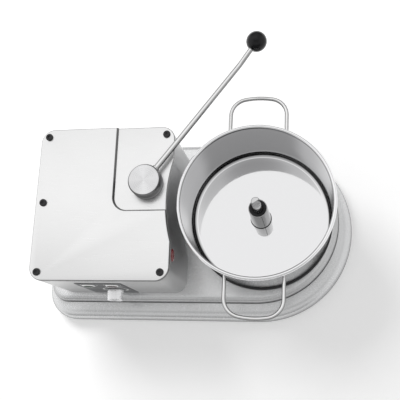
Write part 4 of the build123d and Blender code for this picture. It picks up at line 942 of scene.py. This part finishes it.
lathe(bm, shaft_profile, place(), 80)
# the half-cut, then the groove at its foot
for depth, low, high in ((20.0, tongue_low, SPINDLE_TOP + 5.0),
                         (1.4, tongue_low - 0.8, tongue_low + 1.0)):
    cut = bmesh.new()
    loft(cut, [[(-20, -depth, h), (20, -depth, h), (20, 0, h), (-20, 0, h)]
               for h in (low, high)], place(turn=TONGUE_TURN))
    bm = join_meshes(bm, cut, "DIFFERENCE")
finish_piece("knife_spindle", bm, "spindle", SPINDLE_STEEL, ["spindle"])

# ---- front panel
def rounded_rectangle(width, height, corner, centre=(0.0, 0.0)):
    """Function of the inset: rectangle with four equal corners."""
    def points(inset):
        w, h, r = width / 2 - inset, height / 2 - inset, max(corner - inset, 0.1)
        out = []
        for sx, sy, start in ((1, -1, 270), (1, 1, 0), (-1, 1, 90), (-1, -1, 180)):
            out += arc((centre[0] + sx * (w - r), centre[1] + sy * (h - r)), r, start, 90, 6)
        return out
    return points


PANEL_WIDTH, PANEL_HEIGHT = PANEL_HIGH.x - PANEL_LOW.x, PANEL_HIGH.z - PANEL_LOW.z
PANEL_MIDDLE = middle("control_panel")[::2]
face = PANEL_LOW.y
plate_depth = PANEL_HIGH.y - face
bm = bmesh.new()
stack(bm, rounded_rectangle(PANEL_WIDTH, PANEL_HEIGHT, 4.0),
      [(0.0, -plate_depth), (0.0, -0.5), (0.15, -0.15), (0.5, 0.0)],
      place(PANEL_MIDDLE[0], face, PANEL_MIDDLE[1], "front"))
holes = bmesh.new()
for x, z in BUTTONS:
    lathe(holes, [(BUTTON_RADIUS + 1.75, depth) for depth in PANEL_DRILL],
          place(x, face, z, "front"), 48)
lathe(holes, [(KNOB_HOLE, depth) for depth in PANEL_DRILL],
      place(KNOB[0], face, KNOB[1], "front"), 32)
bm = join_meshes(bm, holes, "DIFFERENCE")
finish_piece("front_panel_plate", bm, "machine", PANEL, ["control_panel"])


def printed_arc(inner, outer, start, sweep, centre, steps=40):
    """Thin raised band of ink on the panel."""
    matrix = place(centre[0], face, centre[1], "front")
    loops = [[bm.verts.new(matrix @ Vector((x, y, height)))
              for x, y in arc((0, 0), radius, start, sweep, steps)]
             for radius, height in ((inner, -0.05), (inner, 0.12), (outer, 0.12), (outer, -0.05))]
    for low, high in zip(loops, loops[1:] + loops[:1]):
        for i in range(steps):
            bm.faces.new((low[i], low[i + 1], high[i + 1], high[i]))
    bm.faces.new([loop[0] for loop in loops])
    bm.faces.new([loop[-1] for loop in loops][::-1])


# printed dial round the knob, its ticks, and a ring round each button
DIAL = (22.6, 26.2)
TICKS, TICK_FOOT, TICK, LONG_TICK = 11, 27.5, 30.0, 31.5
TICK_START, TICK_PITCH, TICK_WIDTH = -45, 27, 1.8  # degrees
bm = bmesh.new()
printed_arc(*DIAL, -50, 280, KNOB)
for i in range(TICKS):
    printed_arc(TICK_FOOT, LONG_TICK if i % 5 == 0 else TICK,
                TICK_START + TICK_PITCH * i - TICK_WIDTH / 2, TICK_WIDTH, KNOB, 2)
for centre in BUTTONS:
    printed_arc(16.0, 16.9, 0, 359.0, centre, 60)
finish_piece("panel_print", bm, "machine", PRINT)

# bezels: a stepped ring round each button
BEZEL_RADIUS = 13.4
bezel_bore = BUTTON_RADIUS + 0.3
bm = bmesh.new()
for x, z in BUTTONS:
    lathe(bm, round_corners([
        (bezel_bore, -24.0), (bezel_bore + 1.4, -24.0), (bezel_bore + 1.4, 0.0),
        (BEZEL_RADIUS, 0.0, 0.2), (BEZEL_RADIUS, 1.5, 0.9),
        (bezel_bore + 1.2, 2.5, 0.5), (bezel_bore, 2.3, 0.3), (bezel_bore, -10.0),
    ]), place(x, face, z, "front"), 64, closed=True)
finish_piece("button_rings", bm, "machine", BEZEL_METAL, ["button_bezels"])

for node, material, slot_name, (x, z) in (
        ("start_button", GREEN, "button_green", BUTTONS[0]),
        ("stop_button", RED, "button_red", BUTTONS[1])):
    bm = bmesh.new()
    lathe(bm, round_corners([
        (0.4, -9.9), (BUTTON_RADIUS, -9.9, 0.4), (BUTTON_RADIUS, 3.6, 0.9),
        (BUTTON_RADIUS - 1.6, 4.1, 0.5), (BUTTON_RADIUS - 3.0, 3.7, 0.5), (0.4, 3.3),
    ], 4), place(x, face, z, "front"), 56)
    finish_piece(node + "_cap", bm, node, material, [node])

# speed knob: tapered, fluted skirt and a dark pointer line
KNOB_RADIUS = (KNOB_HIGH.x - KNOB_LOW.x) / 2
KNOB_LENGTH = KNOB_HIGH.y - KNOB_LOW.y
knob_front = KNOB_LOW.y
FLUTE_DEPTH = 0.45
FLUTE_SHAPE = (0, 0.5, 1, 0.5)  # share of the depth at four steps round each flute
steps = 36 * len(FLUTE_SHAPE)
bm = bmesh.new()
matrix = place(KNOB[0], knob_front, KNOB[1], "front")
profile = round_corners([
    (KNOB_RADIUS, -KNOB_LENGTH), (KNOB_RADIUS, -KNOB_LENGTH + 4.0, 0.5),
    (KNOB_RADIUS - 0.5, -KNOB_LENGTH + 4.6, 0.3), (KNOB_RADIUS - 0.7, -2.0, 0.9),
    (KNOB_RADIUS - 2.0, 0.0, 0.6), (0.5, 0.0),
], 4)
rings = []
for radius, height in profile:
    depth = FLUTE_DEPTH if -KNOB_LENGTH + 5.0 < height < -2.4 else 0.0
    spokes = [radius - depth * FLUTE_SHAPE[k % 4] for k in range(steps)]
    rings.append([(spoke * cos(2 * pi * k / steps), spoke * sin(2 * pi * k / steps), height)
                  for k, spoke in enumerate(spokes)])
rings = [[(x * 0.8, y * 0.8, -KNOB_LENGTH) for x, y, _ in rings[0]]] + rings
loft(bm, rings, matrix)
finish_piece("fluted_speed_knob", bm, "speed_knob", KNOB_METAL, ["speed_knob"])
bm = bmesh.new()
stack(bm, rounded_rectangle(1.4, KNOB_RADIUS - 3.0, 0.5, (0.0, KNOB_RADIUS / 2)),
      [(0.0, -0.4), (0.0, 0.08), (0.1, 0.14)], matrix)
finish_piece("knob_pointer", bm, "speed_knob", BLACK_CAP)

# ---- pilot lamp
LAMP_RADIUS = (LAMP_HIGH.y - LAMP_LOW.y) / 2
LAMP_RISE = LAMP_HIGH.x - LAMP_LOW.x
bm = bmesh.new()
lathe(bm, round_corners([
    (0.4, 0.0), (LAMP_RADIUS - 0.2, 0.0), (LAMP_RADIUS - 0.2, 1.0, 0.3),
    (LAMP_RADIUS - 1.2, 1.5, 0.4), (LAMP_RADIUS * 0.55, LAMP_RISE - 0.35, 4.0),
    (0.4, LAMP_RISE - 0.05),
], 6), place(HOUSING_HIGH.x, LAMP[0], LAMP[1], "right"), 64)
finish_piece("red_pilot_lens", bm, "machine", LENS, ["pilot_lens"])

# ---- camera, light and floor
CAMERA_PLACE = (100.8, -306.7, 1335.9)
CAMERA_TURN = (15.55, 9.91, 1.71)
CAMERA_ANGLE = 35.45
camera_data = bpy.data.cameras.new("camera")
camera = bpy.data.objects.new("camera", camera_data)
scene.collection.objects.link(camera)
camera.location = ORIGIN + Vector(CAMERA_PLACE) * MM
camera.rotation_euler = [radians(a) for a in CAMERA_TURN]
camera_data.angle = radians(CAMERA_ANGLE)
camera_data.clip_start = 0.01
scene.camera = camera

FLOOR_REACH = 6.0  # metres each way from the middle
FLOOR_DROP = 0.0002  # metres below the feet
FLOOR_GLOW = 0.34
floor_mesh = bpy.data.meshes.new("floor")
floor_mesh.from_pydata([(x * FLOOR_REACH, y * FLOOR_REACH, 0)
                        for x, y in ((-1, -1), (1, -1), (1, 1), (-1, 1))], [], [(0, 1, 2, 3)])
floor = bpy.data.objects.new("floor", floor_mesh)
floor.location.z = -FLOOR_DROP
scene.collection.objects.link(floor)
FLOOR_WHITE = bpy.data.materials.new("studio_floor")
FLOOR_WHITE.use_nodes = True
FLOOR_WHITE.node_tree.nodes.clear()
paths = add(FLOOR_WHITE, "ShaderNodeLightPath").outputs
seen = calculate(FLOOR_WHITE, "MAXIMUM", paths["Is Camera Ray"], paths["Is Glossy Ray"])
diffuse = add(FLOOR_WHITE, "ShaderNodeBsdfDiffuse", {"Color": grey(0.92)})
glow = add(FLOOR_WHITE, "ShaderNodeEmission", {"Color": grey(FLOOR_GLOW), "Strength": seen})
blend = add(FLOOR_WHITE, "ShaderNodeAddShader",
            {0: diffuse.outputs["BSDF"], 1: glow.outputs["Emission"]})
add(FLOOR_WHITE, "ShaderNodeOutputMaterial", {"Surface": blend.outputs["Shader"]})
floor_mesh.materials.append(FLOOR_WHITE)

ROOM_LIGHT = 0.42
# white ceiling panel's edges as (outer, inner) slants sideways and back
PANEL_X = ((-1.8, -0.7), (0.34, 0.18))
PANEL_Y = ((-0.10, 0.24), (1.20, 0.50))
# the room's tone by the height of the direction
STUDIO_TONES = [(0.0, 0.16), (0.22, 0.26), (0.45, 0.62), (0.8, 0.72), (1.0, 0.76)]
SIDE_TONE = 0.90  # low windows to the left and right
SIDE_EDGE = (0.50, 0.85)
# dim stretch of ceiling to the front, as (outer, inner) slants sideways and back
DIM_X = ((-0.80, -0.40), (0.80, 0.40))
DIM_Y = ((-0.90, -0.60), (-0.10, -0.28))
DIM_TONE = 0.46
LEAST_CLIMB = 0.05  # keeps the slants finite near the horizon
world = bpy.data.worlds.new("studio")
scene.world = world
world.use_nodes = True
world.node_tree.nodes.clear()
room = add(world, "ShaderNodeBackground", {"Color": grey(1), "Strength": ROOM_LIGHT})
white = add(world, "ShaderNodeBackground", {"Color": grey(1), "Strength": 1.0})
# what metal sees: grey walls and ceiling with a wide white ceiling panel to the back left
direction = split(world, add(world, "ShaderNodeTexCoord").outputs["Generated"])
climb = calculate(world, "MAXIMUM", direction["Z"], LEAST_CLIMB)
slants = [calculate(world, "DIVIDE", direction[axis], climb) for axis in "XY"]


def ceiling_mask(sides, depths):
    """1 inside a soft-edged rectangle of the ceiling, 0 outside it."""
    mask = calculate(world, "GREATER_THAN", direction["Z"], 0.0)
    for slant, ends in zip(slants, (sides, depths)):
        for edge in ends:
            mask = calculate(world, "MULTIPLY", mask,
                             map_range(world, slant, edge, interpolation="SMOOTHSTEP"))
    return mask


seen_tone = ramp(world, direction["Z"], STUDIO_TONES)
# low windows, brightest where the direction points straight to the left or right
sideways = add(world, "ShaderNodeMath", {"operation": "ABSOLUTE", 0: direction["X"]})
window = map_range(world, sideways.outputs["Value"], SIDE_EDGE, interpolation="SMOOTHSTEP")
seen_tone = mix_colours(world, seen_tone, grey(SIDE_TONE), window)
seen_tone = mix_colours(world, seen_tone, grey(DIM_TONE), ceiling_mask(DIM_X, DIM_Y))
seen_tone = mix_colours(world, seen_tone, grey(1), ceiling_mask(PANEL_X, PANEL_Y))
studio = add(world, "ShaderNodeBackground", {"Strength": 1.0, "Color": seen_tone})
paths = add(world, "ShaderNodeLightPath").outputs
mirrored = calculate(world, "MAXIMUM", paths["Is Glossy Ray"], paths["Is Transmission Ray"])
metal_view = add(world, "ShaderNodeMixShader", {
    "Fac": mirrored, 1: room.outputs["Background"], 2: studio.outputs["Background"]})
view = add(world, "ShaderNodeMixShader", {
    "Fac": paths["Is Camera Ray"], 1: metal_view.outputs["Shader"],
    2: white.outputs["Background"]})
add(world, "ShaderNodeOutputWorld", {"Surface": view.outputs["Shader"]})

KEY_PLACE, KEY_TARGET = Vector((-1.1, 1.25, 1.9)), Vector((0, 0, 0.1))  # metres
KEY_SIZE, KEY_POWER = 1.1, 36
key_light = bpy.data.lights.new("key_softbox", "AREA")
key_light.shape = "RECTANGLE"
key_light.size = key_light.size_y = KEY_SIZE
key_light.energy = KEY_POWER
key = bpy.data.objects.new("key_softbox", key_light)
scene.collection.objects.link(key)
key.visible_glossy = False
key.location = KEY_PLACE
key.rotation_euler = (KEY_TARGET - KEY_PLACE).to_track_quat("-Z", "Y").to_euler()

scene.view_settings.view_transform = "Standard"
